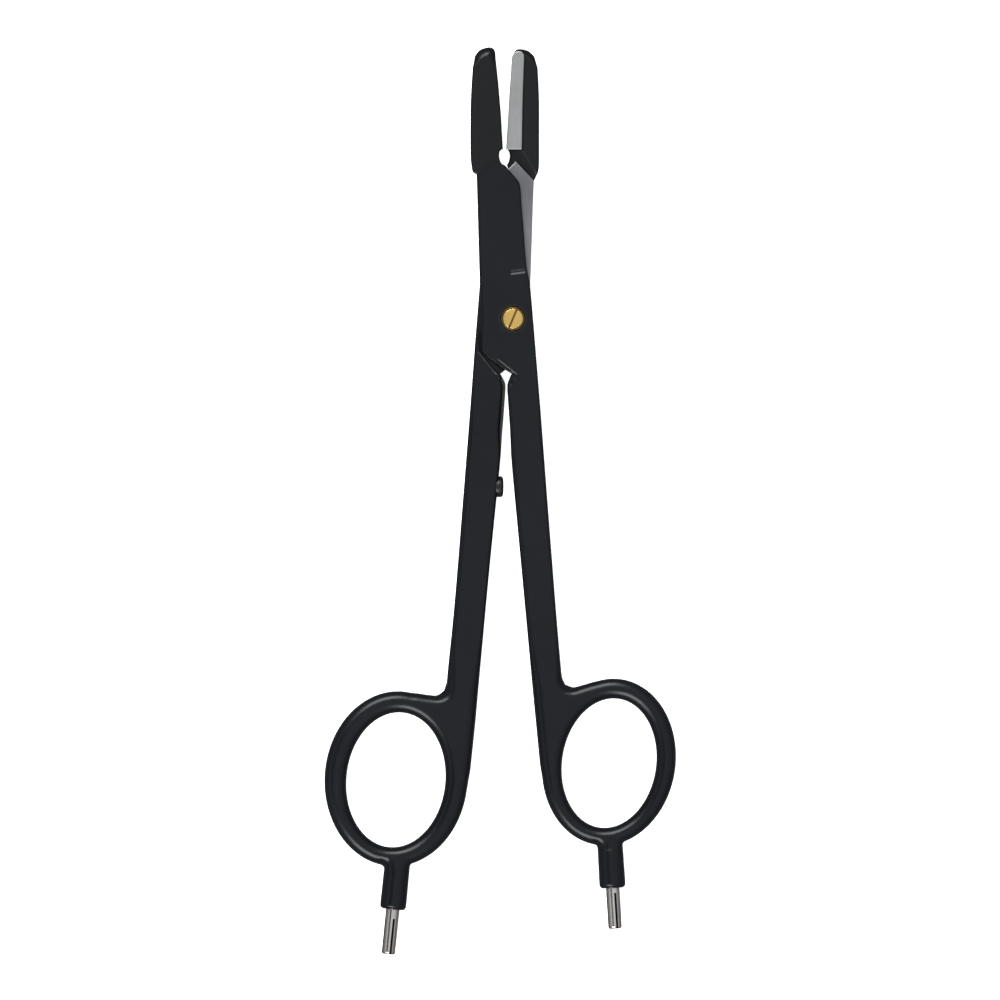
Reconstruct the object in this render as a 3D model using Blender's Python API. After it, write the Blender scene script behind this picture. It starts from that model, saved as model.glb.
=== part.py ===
"""Ring-handled insulated scissors: two lapped halves, blade covers, a brass pivot and plug contacts.

The scissors lie flat with the blade tips towards +Y. The origin is on the pivot axis, in the plane
that the back of the pivot nut rests on. The lower half has its blade on the right and its finger
ring on the left, and it stays still. The upper half turns about +Z: a positive angle opens the
blades. Outlines and sizes are written in millimetres and made metres where a mesh is built.
"""

import math

import bmesh
import bpy
from mathutils import Matrix, Vector

MM = 0.001

# Heights above the resting plane
MIDDLE = 2.95                         # mating plane of the two halves
BODY_HALF = 2.5                       # half the thickness of a shank or a ring
LAP_GAP = 0.05                        # from the mating plane to each lap
BODY_LOW = MIDDLE - BODY_HALF
BODY_HIGH = MIDDLE + BODY_HALF
LAP_LOWER_TOP = MIDDLE - LAP_GAP
LAP_UPPER_FOOT = MIDDLE + LAP_GAP

# Walls, gaps and edges
COAT = 0.5                            # thickness of the insulating coat
BOND = 0.05                           # gap between bonded pieces
BODY_EDGE = 0.8                       # rounding of the coat's edges
RING_EDGE = 1.2                       # rounding inside a finger ring
COVER_EDGE = 0.4
PAST = 2.0                            # how far a cutter runs past what it cuts

# Pivot, as radii
SCREW_SHANK = 1.2
RUNNING = 0.05                        # running clearance round the screw
SCREW_HEAD = 2.22
SCREW_HEAD_TOP = 5.80
SCREW_HEAD_FOOT = 5.00
SCREW_SLOT = (0.4, 0.5)               # width, depth
SCREW_SLOT_TURN = math.radians(69.0)
CUP_INNER = 2.28
CUP_OUTER = 2.65
CUP_TOP = 5.85
CUP_FOOT = 4.65
CUP_FLOOR = 0.3
BUSH_OUTER = 2.0
BUSH_FLANGE = 3.1
BUSH_FLANGE_THICK = 0.35
WASHER_RADIUS = 3.6
WASHER_HALF = 0.22                    # half its thickness
NUT_RADIUS = 2.6
NUT_TOP = 1.35
NUT_FLOOR = 0.5

# Plug stems and split contact pins
STEM_RADIUS = (2.80, 2.90)            # at the ring, at the end
STEM_CORE = 2.1                       # radius of the steel inside it
STEM_EDGE = 0.9
STEM_ROOT = 3.9                       # how far a stem reaches back into its ring
PIN_RADIUS = 1.5
PIN_TAIL_RADIUS = 0.9
PIN_TAIL = 4.0
PIN_COLLAR = 0.6                      # full-width length sunk in the stem's end
PIN_SLOT = 0.55
PIN_SLOT_LENGTH = 7.3
PIN_SLOT_TURN = math.radians(17.5)
PIN_TIP_EDGE = 0.4

# Closing stop on the inner edge of the left shank
STOP_HEIGHT = -37.1
STOP_FACE = -3.40                     # the shank's edge there
STOP_RADIUS = 2.3
STOP_PROUD = 1.3
STOP_TAIL = (1.0, 2.6)                # radius and length of its tail in the shank

SIDES = 32
RING_STEPS = 40


# ---------------------------------------------------------------- plan curves, in millimetres

def smooth(*points, steps=3):
    """Points along a Catmull-Rom curve through the given points, both ends included."""
    padded = [points[0], *points, points[-1]]
    curve = []
    for before, start, end, after in zip(padded, padded[1:], padded[2:], padded[3:]):
        for step in range(steps):
            t = step / steps
            weights = (-t + 2 * t**2 - t**3, 2 - 5 * t**2 + 3 * t**3, t + 4 * t**2 - 3 * t**3, t**3 - t**2)
            curve.append(tuple(
                0.5 * sum(w * p[axis] for w, p in zip(weights, (before, start, end, after)))
                for axis in (0, 1)
            ))
    return [*curve, points[-1]]


def ellipse(centre, half_length, half_width, lean, start=0.0, end=360.0, steps=RING_STEPS):
    """Points on an ellipse whose top leans right by lean; angles run clockwise from its top."""
    up = Vector((math.sin(math.radians(lean)), math.cos(math.radians(lean))))
    right = Vector((up.y, -up.x))
    points = []
    for step in range(steps + 1):
        turn = math.radians(start + (end - start) * step / steps)
        place = Vector(centre) + up * half_length * math.cos(turn) + right * half_width * math.sin(turn)
        points.append((place.x, place.y))
    return points


def circle(radius, centre=(0.0, 0.0), sides=SIDES):
    return ellipse(centre, radius, radius, 0.0, steps=sides)[:-1]


def area(outline):
    return 0.5 * sum(
        x0 * y1 - x1 * y0
        for (x0, y0), (x1, y1) in zip(outline, [*outline[1:], outline[0]])
    )


def anticlockwise(outline):
    outline = list(outline)
    return outline if area(outline) > 0 else outline[::-1]


def inset(outline, distance):
    """The outline moved inwards by distance, with mitred corners; a negative distance grows it."""
    moved = []
    for before, here, after in zip([outline[-1], *outline[:-1]], outline, [*outline[1:], outline[0]]):
        arrive = (Vector(here) - Vector(before)).normalized()
        leave = (Vector(after) - Vector(here)).normalized()
        normal = Vector((-arrive.y - leave.y, arrive.x + leave.x)).normalized()
        reach = distance / max(0.35, normal.dot(Vector((-arrive.y, arrive.x))))
        moved.append((here[0] + normal.x * reach, here[1] + normal.y * reach))
    return moved


# ---------------------------------------------------------------- outlines of the two halves

# Ring shapes: (centre, half length, half width, lean in degrees)
LEFT_RING = ((-25.81, -101.60), 19.35, 15.81, 3.8)
LEFT_HOLE = ((-25.86, -101.84), 14.90, 10.90, 6.0)
RIGHT_RING = ((21.17, -97.90), 18.50, 14.73, 9.0)
RIGHT_HOLE = ((21.22, -98.16), 14.34, 10.35, 8.8)

# Plug stems: (root, lean of the axis from straight down in degrees, stem end, pin end)
LEFT_STEM = ((-25.69, -122.0), -5.78, 8.5, 18.45)
RIGHT_STEM = ((21.58, -118.7), 3.54, 7.05, 16.05)


def lower_outline(top):
    """Lap, shank and ring of the lower half, cut off at the height top."""
    return anticlockwise([
        (-7.34, top), (-8.42, -5.7),
        *smooth((-9.33, -18.1), (-10.72, -35.8), (-12.87, -62.3), (-14.20, -75.6), (-14.62, -80.2)),
        *smooth((-15.19, -82.1), (-16.75, -83.15), (-18.84, -83.05), (-21.0, -82.72)),
        *ellipse(*LEFT_RING, 8.0, -265.0),
        *smooth((-9.38, -99.6), (-8.31, -89.3), (-7.47, -80.0), (-5.22, -55.7), (-3.01, -33.6), (-1.97, -22.5)),
        *smooth((-1.60, -16.9), (-1.62, -14.3), (-2.81, -12.2)),
        (-1.68, -11.34), (2.24, -8.36), (3.45, -7.0), (3.45, -3.05), (3.85, top),
    ])


def upper_outline():
    """Ricasso, lap, shank and ring of the upper half, up to the seam of its blade cover."""
    return anticlockwise([
        *UPPER_SEAM,
        *smooth((-1.66, 33.76), (-0.77, 32.77), (0.44, 31.44), (1.22, 30.11), (1.59, 28.35)),
        *smooth((1.81, 26.1), (2.10, 21.7), (2.98, 12.9), (3.80, 7.5), (4.49, -0.4), (6.12, -20.3)),
        *smooth((7.32, -36.2), (9.35, -62.3), (10.60, -77.0), (10.90, -79.4)),
        *smooth((11.55, -80.8), (13.3, -81.37), (15.1, -80.97), (17.2, -80.35)),
        *ellipse(*RIGHT_RING, -18.0, 252.0),
        *smooth((5.95, -98.5), (5.00, -88.8), (4.16, -80.0), (1.90, -55.7), (-0.15, -33.6), (-0.95, -22.5)),
        *smooth((-1.30, -16.9), (-1.35, -14.4), (-0.30, -12.2)),
        (-1.72, -11.34), (-5.64, -8.36), (-6.85, -7.0), (-6.85, -3.05), (-7.34, 7.8),
    ])


UPPER_SEAM = [(-8.25, 31.3), (-3.9, 34.75), (-2.35, 34.1)]
LOWER_SEAM = [(4.62, 30.45), (0.60, 34.70), (-1.00, 33.05)]

LOWER_RICASSO = anticlockwise([
    *LOWER_SEAM, (-1.74, 33.76), (-2.63, 32.77), (-3.84, 31.44), (-4.62, 30.1), (-4.99, 28.35),
    (-5.5, 21.7), (-6.38, 12.9), (-7.16, 7.7), (3.85, 7.7), (4.02, 12.9), (4.22, 19.1), (4.44, 26.1),
])

LOWER_COVER = anticlockwise([
    (4.72, 30.60), *smooth((5.53, 32.3), (5.77, 34.1), (5.77, 40.0), (5.77, 48.2), (5.46, 55.3)),
    *smooth((4.72, 57.9), (3.35, 59.12), (1.66, 59.52), (0.60, 59.25), (0.0, 58.3), (-0.14, 57.1)),
    (-0.50, 51.8), (-0.92, 44.7), (-1.34, 37.6),
    (-0.82, 36.75), (-0.66, 35.86), (-0.88, 34.76), (-1.30, 33.95), (-1.02, 33.2), (0.60, 34.85),
])

UPPER_COVER = anticlockwise([
    (-8.25, 31.45), (-9.07, 32.3), *smooth((-9.35, 34.1), (-9.40, 39.4), (-9.31, 48.2), (-8.91, 55.3)),
    *smooth((-8.40, 58.0), (-7.34, 59.3), (-5.53, 59.89), (-4.45, 59.7), (-3.92, 58.9), (-3.79, 57.1)),
    (-3.23, 51.8), (-2.64, 44.7), (-2.22, 37.6),
    (-2.98, 36.86), (-2.98, 35.31), (-2.70, 34.54), (-2.40, 34.2), (-3.9, 34.88),
])

LOWER_STRIP = anticlockwise([
    *smooth((-0.29, 57.1), (-0.12, 58.1), (0.42, 58.85), (1.25, 59.05), (2.02, 58.85), (2.42, 58.2)),
    (2.42, 57.1), (2.10, 48.2), (1.95, 39.4), (1.90, 37.35), (-1.49, 37.35), (-1.07, 44.7), (-0.65, 51.8),
])

UPPER_STRIP = anticlockwise([
    *smooth((-3.64, 57.1), (-3.75, 58.4), (-4.4, 59.15), (-5.25, 59.3), (-5.95, 59.0), (-6.30, 58.2)),
    (-6.30, 57.1), (-5.95, 48.2), (-5.65, 39.4), (-5.55, 37.35), (-2.07, 37.35), (-2.49, 44.7), (-3.08, 51.8),
])

# Steel tongues inside the covers
LOWER_TONGUE = anticlockwise([
    (3.4, 29.0), (4.6, 36.0), (4.6, 50.0), (3.9, 56.5), (2.2, 58.0), (0.9, 57.6), (0.4, 51.0), (0.2, 37.6),
    (0.5, 36.0), (0.4, 33.4), (-0.6, 30.0),
])
UPPER_TONGUE = anticlockwise([
    (-6.9, 29.0), (-8.1, 36.0), (-8.1, 50.0), (-7.4, 56.5), (-5.9, 58.2), (-4.8, 57.8), (-4.3, 51.0),
    (-4.0, 37.6), (-4.1, 36.0), (-4.0, 33.4), (-3.0, 30.0),
])

# Where each half is thinned to a lap: everything above its own shoulder, and inside its rim
LOWER_LAP = anticlockwise([
    (-7.45, -7.0), (-4.1, -11.2), (-2.75, -12.6), (8.0, -12.6),
    (8.0, 40.0), (-14.0, 40.0), (-14.0, -2.9), (-7.45, -2.9),
])
UPPER_LAP = anticlockwise([
    (4.05, -7.0), (0.70, -11.2), (-0.65, -12.6), (-12.0, -12.6),
    (-12.0, 40.0), (10.5, 40.0), (10.5, -2.9), (4.05, -2.9),
])


# Where the shanks pass each other on closing, their inner flanks slope: what is cut away, given at
# the front face of the lower half and at the back face of the upper half
LOWER_RELIEF = anticlockwise([
    (-2.25, -13.3), (-2.50, -14.3), (-2.50, -17.0), (-2.68, -20.5), (-2.92, -24.0), (-3.0, -27.5),
    (-2.7, -30.0), (4.0, -30.0), (4.0, -13.3),
])
UPPER_RELIEF = anticlockwise([
    (-0.69, -13.3), (-0.44, -14.3), (-0.44, -17.0), (-0.26, -20.5), (-0.02, -24.0), (0.06, -27.5),
    (-0.24, -30.0), (-7.0, -30.0), (-7.0, -13.3),
])
RELIEF_SLOPE = 0.18


# ---------------------------------------------------------------- meshes

def clear_scene():
    for found in list(bpy.data.objects):
        bpy.data.objects.remove(found, do_unlink=True)


def material(name, colour, roughness, metallic):
    made = bpy.data.materials.new(name)
    made.use_nodes = True
    shader = made.node_tree.nodes["Principled BSDF"]
    shader.inputs["Base Color"].default_value = (*colour, 1.0)
    shader.inputs["Roughness"].default_value = roughness
    shader.inputs["Metallic"].default_value = metallic
    made.diffuse_color = (*colour, 1.0)
    return made


def object_from(name, work):
    """A scene object that holds the bmesh, scaled to metres, with its faces pointing outwards."""
    bmesh.ops.recalc_face_normals(work, faces=work.faces)
    bmesh.ops.scale(work, vec=(MM, MM, MM), verts=work.verts)
    mesh = bpy.data.meshes.new(name)
    work.to_mesh(mesh)
    work.free()
    made = bpy.data.objects.new(name, mesh)
    bpy.context.scene.collection.objects.link(made)
    return made


def stack(name, outline, levels):
    """A solid through copies of the outline, one for each (height, inset) of levels, bottom to top."""
    work = bmesh.new()
    rings = []
    for height, distance in levels:
        shifted = inset(outline, distance) if distance else outline
        rings.append([work.verts.new((x, y, height)) for x, y in shifted])
    count = len(outline)
    for lower, upper in zip(rings, rings[1:]):
        for here in range(count):
            after = (here + 1) % count
            work.faces.new((lower[here], lower[after], upper[after], upper[here]))
    work.faces.new(rings[0][::-1])
    work.faces.new(rings[-1])
    return object_from(name, work)


def rounded_levels(low, high, low_edge, high_edge, steps=2):
    """Levels of a plate from low to high whose two rims are rounded by the given radii."""
    levels = []
    for step in range(steps + 1):
        turn = math.radians(90.0 * step / steps)
        levels.append((low + low_edge * (1 - math.cos(turn)), low_edge * (1 - math.sin(turn))))
    for step in range(steps + 1):
        turn = math.radians(90.0 * step / steps)
        levels.append((high - high_edge * (1 - math.sin(turn)), high_edge * (1 - math.cos(turn))))
    if not low_edge:
        levels = [(low, 0.0), *levels[steps + 1:]]
    if not high_edge:
        levels = [*levels[:steps + 1], (high, 0.0)]
    return levels


def plate(name, outline, low, high, low_edge=0.0, high_edge=0.0):
    return stack(name, outline, rounded_levels(low, high, low_edge, high_edge))


def turned(name, profile, sides=SIDES, place=None):
    """A solid of revolution about +Z from (radius, height) pairs, moved by the matrix place."""
    work = bmesh.new()
    points = [work.verts.new((radius, 0.0, height)) for radius, height in profile]
    outline = [work.edges.new(pair) for pair in zip(points, [*points[1:], points[0]])
               if not (pair[0].co.x == 0.0 and pair[1].co.x == 0.0)]
    bmesh.ops.spin(work, geom=points + outline, axis=(0, 0, 1), cent=(0, 0, 0),
                   angle=math.tau, steps=sides, use_merge=True)
    bmesh.ops.remove_doubles(work, verts=work.verts, dist=1e-5)
    if place is not None:
        bmesh.ops.transform(work, matrix=place, verts=work.verts)
    return object_from(name, work)


def cutter(made):
    made.hide_render = True
    made.display_type = "WIRE"
    return made


def combine(target, tool, operation):
    """Adds a Boolean to target; the tool stays in the file as a hidden helper."""
    step = target.modifiers.new(operation.title() + " " + tool.name, "BOOLEAN")
    step.operation = operation
    step.solver = "EXACT"
    step.object = cutter(tool)
    return target


def cut(target, tool):
    return combine(target, tool, "DIFFERENCE")


def join(target, tool):
    return combine(target, tool, "UNION")


def finish(made, look):
    """Gives a piece its material and shades its round stretches smooth."""
    made.data.materials.append(look)
    made.data.shade_smooth()
    made.data.set_sharp_from_angle(angle=math.radians(35.0))
    return made


# ---------------------------------------------------------------- shapes that both halves use

def stem_place(stem):
    """Matrix that lays local +Z along a plug stem, away from the ring."""
    (x, y), lean, _, _ = stem
    down = Matrix.Rotation(math.radians(90.0), 4, "X")
    return Matrix.Translation((x, y, MIDDLE)) @ Matrix.Rotation(math.radians(lean), 4, "Z") @ down


def stem_solid(name, stem, grow):
    """The plug stem's solid, with its radius and its end reduced by -grow; its root is in the ring."""
    root, end = STEM_RADIUS[0] + grow, STEM_RADIUS[1] + grow
    length = stem[2] + grow
    edge = STEM_EDGE
    profile = [(0.0, -STEM_ROOT), (root - 0.6, -STEM_ROOT), (root, -2.0), (end, length - edge)]
    for step in range(1, 4):
        turn = math.radians(30.0 * step)
        profile.append((end - edge * (1 - math.cos(turn)), length - edge * (1 - math.sin(turn))))
    return turned(name, [*profile, (0.0, length)], place=stem_place(stem))


def stem_core(name, stem, grow):
    """The steel inside a plug stem: a plain round bar that runs into the ring's steel."""
    length = stem[2] - COAT + grow
    profile = [(0.0, -STEM_ROOT), (STEM_CORE + grow, -STEM_ROOT), (STEM_CORE + grow, length), (0.0, length)]
    return turned(name, profile, place=stem_place(stem))


def pin_bore(name, stem):
    """Bore for the pin's tail and collar in the stem's end."""
    end = stem[2]
    collar, tail = PIN_RADIUS + BOND, PIN_TAIL_RADIUS + BOND
    profile = [
        (0.0, end - PIN_COLLAR - PIN_TAIL - BOND), (tail, end - PIN_COLLAR - PIN_TAIL - BOND),
        (tail, end - PIN_COLLAR - BOND), (collar, end - PIN_COLLAR - BOND),
        (collar, end + PAST), (0.0, end + PAST),
    ]
    return turned(name, profile, place=stem_place(stem))


def ring_hole(name, hole, shrink, edge):
    """Cutter for a finger ring's hole: an ellipse, flared at both faces by edge."""
    centre, half_length, half_width, lean = hole
    outline = anticlockwise(ellipse(centre, half_length - shrink, half_width - shrink, lean)[:-1])
    low, high = BODY_LOW, BODY_HIGH
    flare = [(low - PAST, -edge), (low, -edge), (low + 0.3 * edge, -0.3 * edge), (low + edge, 0.0)]
    mirrored = [(high + low - height, distance) for height, distance in reversed(flare)]
    levels = [*flare, *mirrored] if edge else [(low - PAST, 0.0), (high + PAST, 0.0)]
    return stack(name, outline, levels)


def lap_tool(name, side, wall):
    """Cutter that thins a half to its lap, side 1 for the lower half; it grows by the coat's wall."""
    if side > 0:
        outline, span = LOWER_LAP, (LAP_LOWER_TOP - wall, BODY_HIGH + PAST)
    else:
        outline, span = UPPER_LAP, (BODY_LOW - PAST, LAP_UPPER_FOOT + wall)
    return stack(name, inset(outline, -wall), [(span[0], 0.0), (span[1], 0.0)])


def relief_tool(name, side, wall):
    """Cutter for a shank's sloping flank, side 1 for the lower half."""
    outline, level = (LOWER_RELIEF, BODY_HIGH) if side > 0 else (UPPER_RELIEF, BODY_LOW)
    tool = stack(name, outline, [(BODY_LOW - PAST, 0.0), (BODY_HIGH + PAST, 0.0)])
    shear = Matrix.Identity(4)
    shear[0][2] = -RELIEF_SLOPE
    shear[0][3] = (RELIEF_SLOPE * level - side * wall) * MM
    tool.data.transform(shear)
    return tool


def inner_body(name, outline, hole, stem, side, wall):
    """The outline's body without its outer wall: the coat's cavity, or the steel that fills it."""
    body = stack(name, inset(outline, wall), [(BODY_LOW + wall, 0.0), (BODY_HIGH - wall, 0.0)])
    cut(body, lap_tool(name + "_lap_tool", side, wall))
    cut(body, relief_tool(name + "_relief_tool", side, wall))
    cut(body, ring_hole(name + "_hole_tool", hole, -wall, 0.0))
    join(body, stem_core(name + "_stem", stem, 0.0 if wall > COAT else BOND))
    return body


def pivot_bore(name, radius, low, high):
    return stack(name, circle(radius), [(low, 0.0), (high, 0.0)])


def contact_pin(name, stem, look):
    """Split plug contact: a round pin with a crossed saw cut, a collar and a tail in the stem."""
    end, tip = stem[2], stem[3]
    profile = [
        (0.0, end - PIN_COLLAR - PIN_TAIL), (PIN_TAIL_RADIUS, end - PIN_COLLAR - PIN_TAIL),
        (PIN_TAIL_RADIUS, end - PIN_COLLAR), (PIN_RADIUS, end - PIN_COLLAR),
        (PIN_RADIUS, tip - PIN_TIP_EDGE), (PIN_RADIUS - PIN_TIP_EDGE, tip), (0.0, tip),
    ]
    pin = turned(name, profile, place=stem_place(stem))
    for cross in (0, 1):
        turn = PIN_SLOT_TURN + cross * math.pi / 2
        half = PIN_SLOT / 2
        reach = 2 * PIN_RADIUS
        outline = [(-reach, -half), (reach, -half), (reach, half), (-reach, half)]
        saw = stack(f"{name}_saw_{cross}", outline, [(tip - PIN_SLOT_LENGTH, 0.0), (tip + PAST, 0.0)])
        saw.data.transform(scaled(stem_place(stem) @ Matrix.Rotation(math.pi / 2 + turn, 4, "Z")))
        cut(pin, saw)
    return finish(pin, look)


def scaled(matrix):
    """The millimetre matrix with its translation in metres."""
    made = matrix.copy()
    made.translation = matrix.translation * MM
    return made


# ---------------------------------------------------------------- lower half

def lower_limb(look):
    """Forged steel half: ring, shank and lap inside the coat, bare ricasso, tongue in the cover."""
    wall = COAT + BOND
    limb = inner_body("lower_limb", lower_outline(11.0), LEFT_HOLE, LEFT_STEM, 1, wall)
    join(limb, plate("lower_ricasso", LOWER_RICASSO, BODY_LOW, LAP_LOWER_TOP, 0.3, 0.12))
    join(limb, plate("lower_tongue", LOWER_TONGUE, BODY_LOW + 0.6, LAP_LOWER_TOP - 0.92))
    cut(limb, pivot_bore("lower_limb_bore", SCREW_SHANK + RUNNING, -PAST, BODY_HIGH))
    cut(limb, pivot_bore("lower_limb_nut_seat", NUT_RADIUS + RUNNING, -PAST, NUT_TOP + BOND))
    cut(limb, pin_bore("lower_limb_pin_bore", LEFT_STEM))
    cut(limb, stop_solid("lower_limb_stop_seat", BOND))
    return finish(limb, look)


def lower_handle_coat(look):
    """Insulating coat over the lower half's lap, shank, ring and plug stem."""
    coat = plate("lower_handle_coat", lower_outline(7.6), BODY_LOW, BODY_HIGH, BODY_EDGE, BODY_EDGE)
    join(coat, stem_solid("lower_stem", LEFT_STEM, 0.0))
    cut(coat, ring_hole("left_ring_hole", LEFT_HOLE, 0.0, RING_EDGE))
    cut(coat, lap_tool("lower_lap_tool", 1, 0.0))
    cut(coat, relief_tool("lower_relief_tool", 1, 0.0))
    cut(coat, inner_body("lower_cavity", lower_outline(11.0), LEFT_HOLE, LEFT_STEM, 1, COAT))
    cut(coat, pivot_bore("lower_coat_bore", SCREW_SHANK + RUNNING, -PAST, BODY_HIGH))
    cut(coat, pivot_bore("lower_coat_nut_seat", NUT_RADIUS + RUNNING, -PAST, NUT_TOP + BOND))
    cut(coat, pivot_bore("lower_washer_seat", WASHER_RADIUS + RUNNING, MIDDLE - WASHER_HALF - BOND, MIDDLE + PAST))
    cut(coat, pin_bore("lower_coat_pin_bore", LEFT_STEM))
    cut(coat, stop_solid("lower_coat_stop_seat", BOND))
    return finish(coat, look)


def cover_with_pockets(name, outline, tongue, strip, outer, mating):
    """Blade cover from its outer face to its mating face, with pockets for tongue and strip."""
    inward = 1 if mating > outer else -1
    low, high = sorted((outer, mating))
    edges = (COVER_EDGE, 0.0) if inward > 0 else (0.0, COVER_EDGE)
    cover = plate(name, outline, low, high, *edges)
    pocket = sorted((outer + inward * (0.6 - BOND), mating - inward * (0.92 - BOND)))
    cut(cover, stack(name + "_tongue_tool", inset(tongue, -BOND), [(pocket[0], 0.0), (pocket[1], 0.0)]))
    recess = sorted((mating - inward * 0.92, mating + inward * PAST))
    cut(cover, stack(name + "_strip_tool", inset(strip, -BOND), [(recess[0], 0.0), (recess[1], 0.0)]))
    return cover


def lower_blade_cover(look):
    cover = cover_with_pockets(
        "lower_blade_cover", LOWER_COVER, LOWER_TONGUE, LOWER_STRIP, BODY_LOW, LAP_LOWER_TOP)
    return finish(cover, look)


def lower_cutting_strip(look):
    strip = plate("lower_cutting_strip", LOWER_STRIP, LAP_LOWER_TOP - 0.87, LAP_LOWER_TOP, 0.0, 0.1)
    return finish(strip, look)


def stop_solid(name, grow):
    """Closing stop: a domed button on the shank's edge with a round tail in the shank."""
    radius, tail_radius = STOP_RADIUS + grow, STOP_TAIL[0] + grow
    profile = [(0.0, -STOP_TAIL[1] - grow), (tail_radius, -STOP_TAIL[1] - grow), (tail_radius, -0.5 - grow),
               (radius, -0.5 - grow), (radius, 0.2)]
    for turn in (30.0, 60.0):
        across, along = math.cos(math.radians(turn)), math.sin(math.radians(turn))
        profile.append((radius * across, 0.2 + (STOP_PROUD - 0.2) * along))
    profile.append((0.0, STOP_PROUD + grow))
    place = Matrix.Translation((STOP_FACE, STOP_HEIGHT, MIDDLE)) @ Matrix.Rotation(math.pi / 2, 4, "Y")
    return turned(name, profile, sides=24, place=place)


def pivot_nut(look):
    """Capped brass nut pressed into the back of the lower half; the object rests on its flat back."""
    hole = SCREW_SHANK + RUNNING
    profile = [(0.0, 0.0), (NUT_RADIUS - 0.2, 0.0), (NUT_RADIUS, 0.2), (NUT_RADIUS, NUT_TOP),
               (hole, NUT_TOP), (hole, NUT_FLOOR), (0.0, NUT_FLOOR)]
    return finish(turned("pivot_nut", profile), look)


def pivot_screw(look):
    """Slotted brass screw through both halves, threaded into the nut."""
    foot = NUT_FLOOR + BOND
    profile = [(0.0, foot), (SCREW_SHANK, foot), (SCREW_SHANK, SCREW_HEAD_FOOT), (SCREW_HEAD, SCREW_HEAD_FOOT),
               (SCREW_HEAD, SCREW_HEAD_TOP - 0.15), (SCREW_HEAD - 0.25, SCREW_HEAD_TOP), (0.0, SCREW_HEAD_TOP)]
    screw = turned("pivot_screw", profile)
    half, depth = SCREW_SLOT[0] / 2, SCREW_SLOT[1]
    reach = SCREW_HEAD + 1.0
    outline = [(-reach, -half), (reach, -half), (reach, half), (-reach, half)]
    saw = stack("screw_slot_tool", outline, [(SCREW_HEAD_TOP - depth, 0.0), (SCREW_HEAD_TOP + PAST, 0.0)])
    saw.data.transform(Matrix.Rotation(SCREW_SLOT_TURN, 4, "Z"))
    return finish(cut(screw, saw), look)


def joint_washer(look):
    """Insulating disc between the two laps."""
    hole = SCREW_SHANK + RUNNING
    low, high = MIDDLE - WASHER_HALF, MIDDLE + WASHER_HALF
    profile = [(hole, low), (WASHER_RADIUS, low), (WASHER_RADIUS, high), (hole, high)]
    return finish(turned("joint_washer", profile), look)


# ---------------------------------------------------------------- upper half

def upper_limb(look):
    """Forged steel half, all of it under the coat and the blade cover."""
    wall = COAT + BOND
    limb = inner_body("upper_limb", upper_outline(), RIGHT_HOLE, RIGHT_STEM, -1, wall)
    join(limb, plate("upper_tongue", UPPER_TONGUE, LAP_UPPER_FOOT + 0.92, BODY_HIGH - 0.6))
    cut(limb, pivot_bore("upper_limb_bore", BUSH_OUTER + BOND, BODY_LOW, BODY_HIGH + PAST))
    cut(limb, pivot_bore("upper_limb_flange_seat", BUSH_FLANGE + BOND, bush_floor() - BOND, BODY_HIGH + PAST))
    cut(limb, pin_bore("upper_limb_pin_bore", RIGHT_STEM))
    return finish(limb, look)


def upper_handle_coat(look):
    """Insulating coat from the upper half's ricasso down to its plug stem."""
    outline = upper_outline()
    coat = plate("upper_handle_coat", outline, BODY_LOW, BODY_HIGH, BODY_EDGE, BODY_EDGE)
    join(coat, stem_solid("upper_stem", RIGHT_STEM, 0.0))
    cut(coat, ring_hole("right_ring_hole", RIGHT_HOLE, 0.0, RING_EDGE))
    cut(coat, lap_tool("upper_lap_tool", -1, 0.0))
    cut(coat, relief_tool("upper_relief_tool", -1, 0.0))
    cut(coat, inner_body("upper_cavity", outline, RIGHT_HOLE, RIGHT_STEM, -1, COAT))
    cut(coat, stack("upper_tongue_way", inset(UPPER_TONGUE, -BOND),
                    [(LAP_UPPER_FOOT + 0.92 - BOND, 0.0), (BODY_HIGH - 0.6 + BOND, 0.0)]))
    cut(coat, pivot_bore("upper_coat_bore", BUSH_OUTER + BOND, BODY_LOW, BODY_HIGH + PAST))
    cut(coat, pivot_bore("upper_coat_flange_seat", BUSH_FLANGE + BOND, bush_floor() - BOND, BODY_HIGH + PAST))
    cut(coat, pivot_bore("upper_washer_seat", WASHER_RADIUS + RUNNING, MIDDLE - PAST, MIDDLE + WASHER_HALF + BOND))
    cut(coat, pin_bore("upper_coat_pin_bore", RIGHT_STEM))
    cut(coat, thumb_groove())
    return finish(coat, look)


def thumb_groove():
    """Shallow round-ended groove across the ricasso that runs out at its right edge."""
    outline = [(-0.4, 9.8), (6.0, 9.95), (6.0, 11.15), (-0.4, 11.0), (-0.85, 10.8), (-1.0, 10.4), (-0.85, 10.0)]
    return stack("ricasso_groove", outline, [(BODY_HIGH - 0.25, 0.15), (BODY_HIGH + 0.1, -0.05)])


def upper_blade_cover(look):
    cover = cover_with_pockets(
        "upper_blade_cover", UPPER_COVER, UPPER_TONGUE, UPPER_STRIP, BODY_HIGH, LAP_UPPER_FOOT)
    return finish(cover, look)


def upper_cutting_strip(look):
    strip = plate("upper_cutting_strip", UPPER_STRIP, LAP_UPPER_FOOT, LAP_UPPER_FOOT + 0.87, 0.1, 0.0)
    return finish(strip, look)


def bush_floor():
    """Underside of the bush's flange."""
    return CUP_FOOT - BOND - BUSH_FLANGE_THICK


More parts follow.
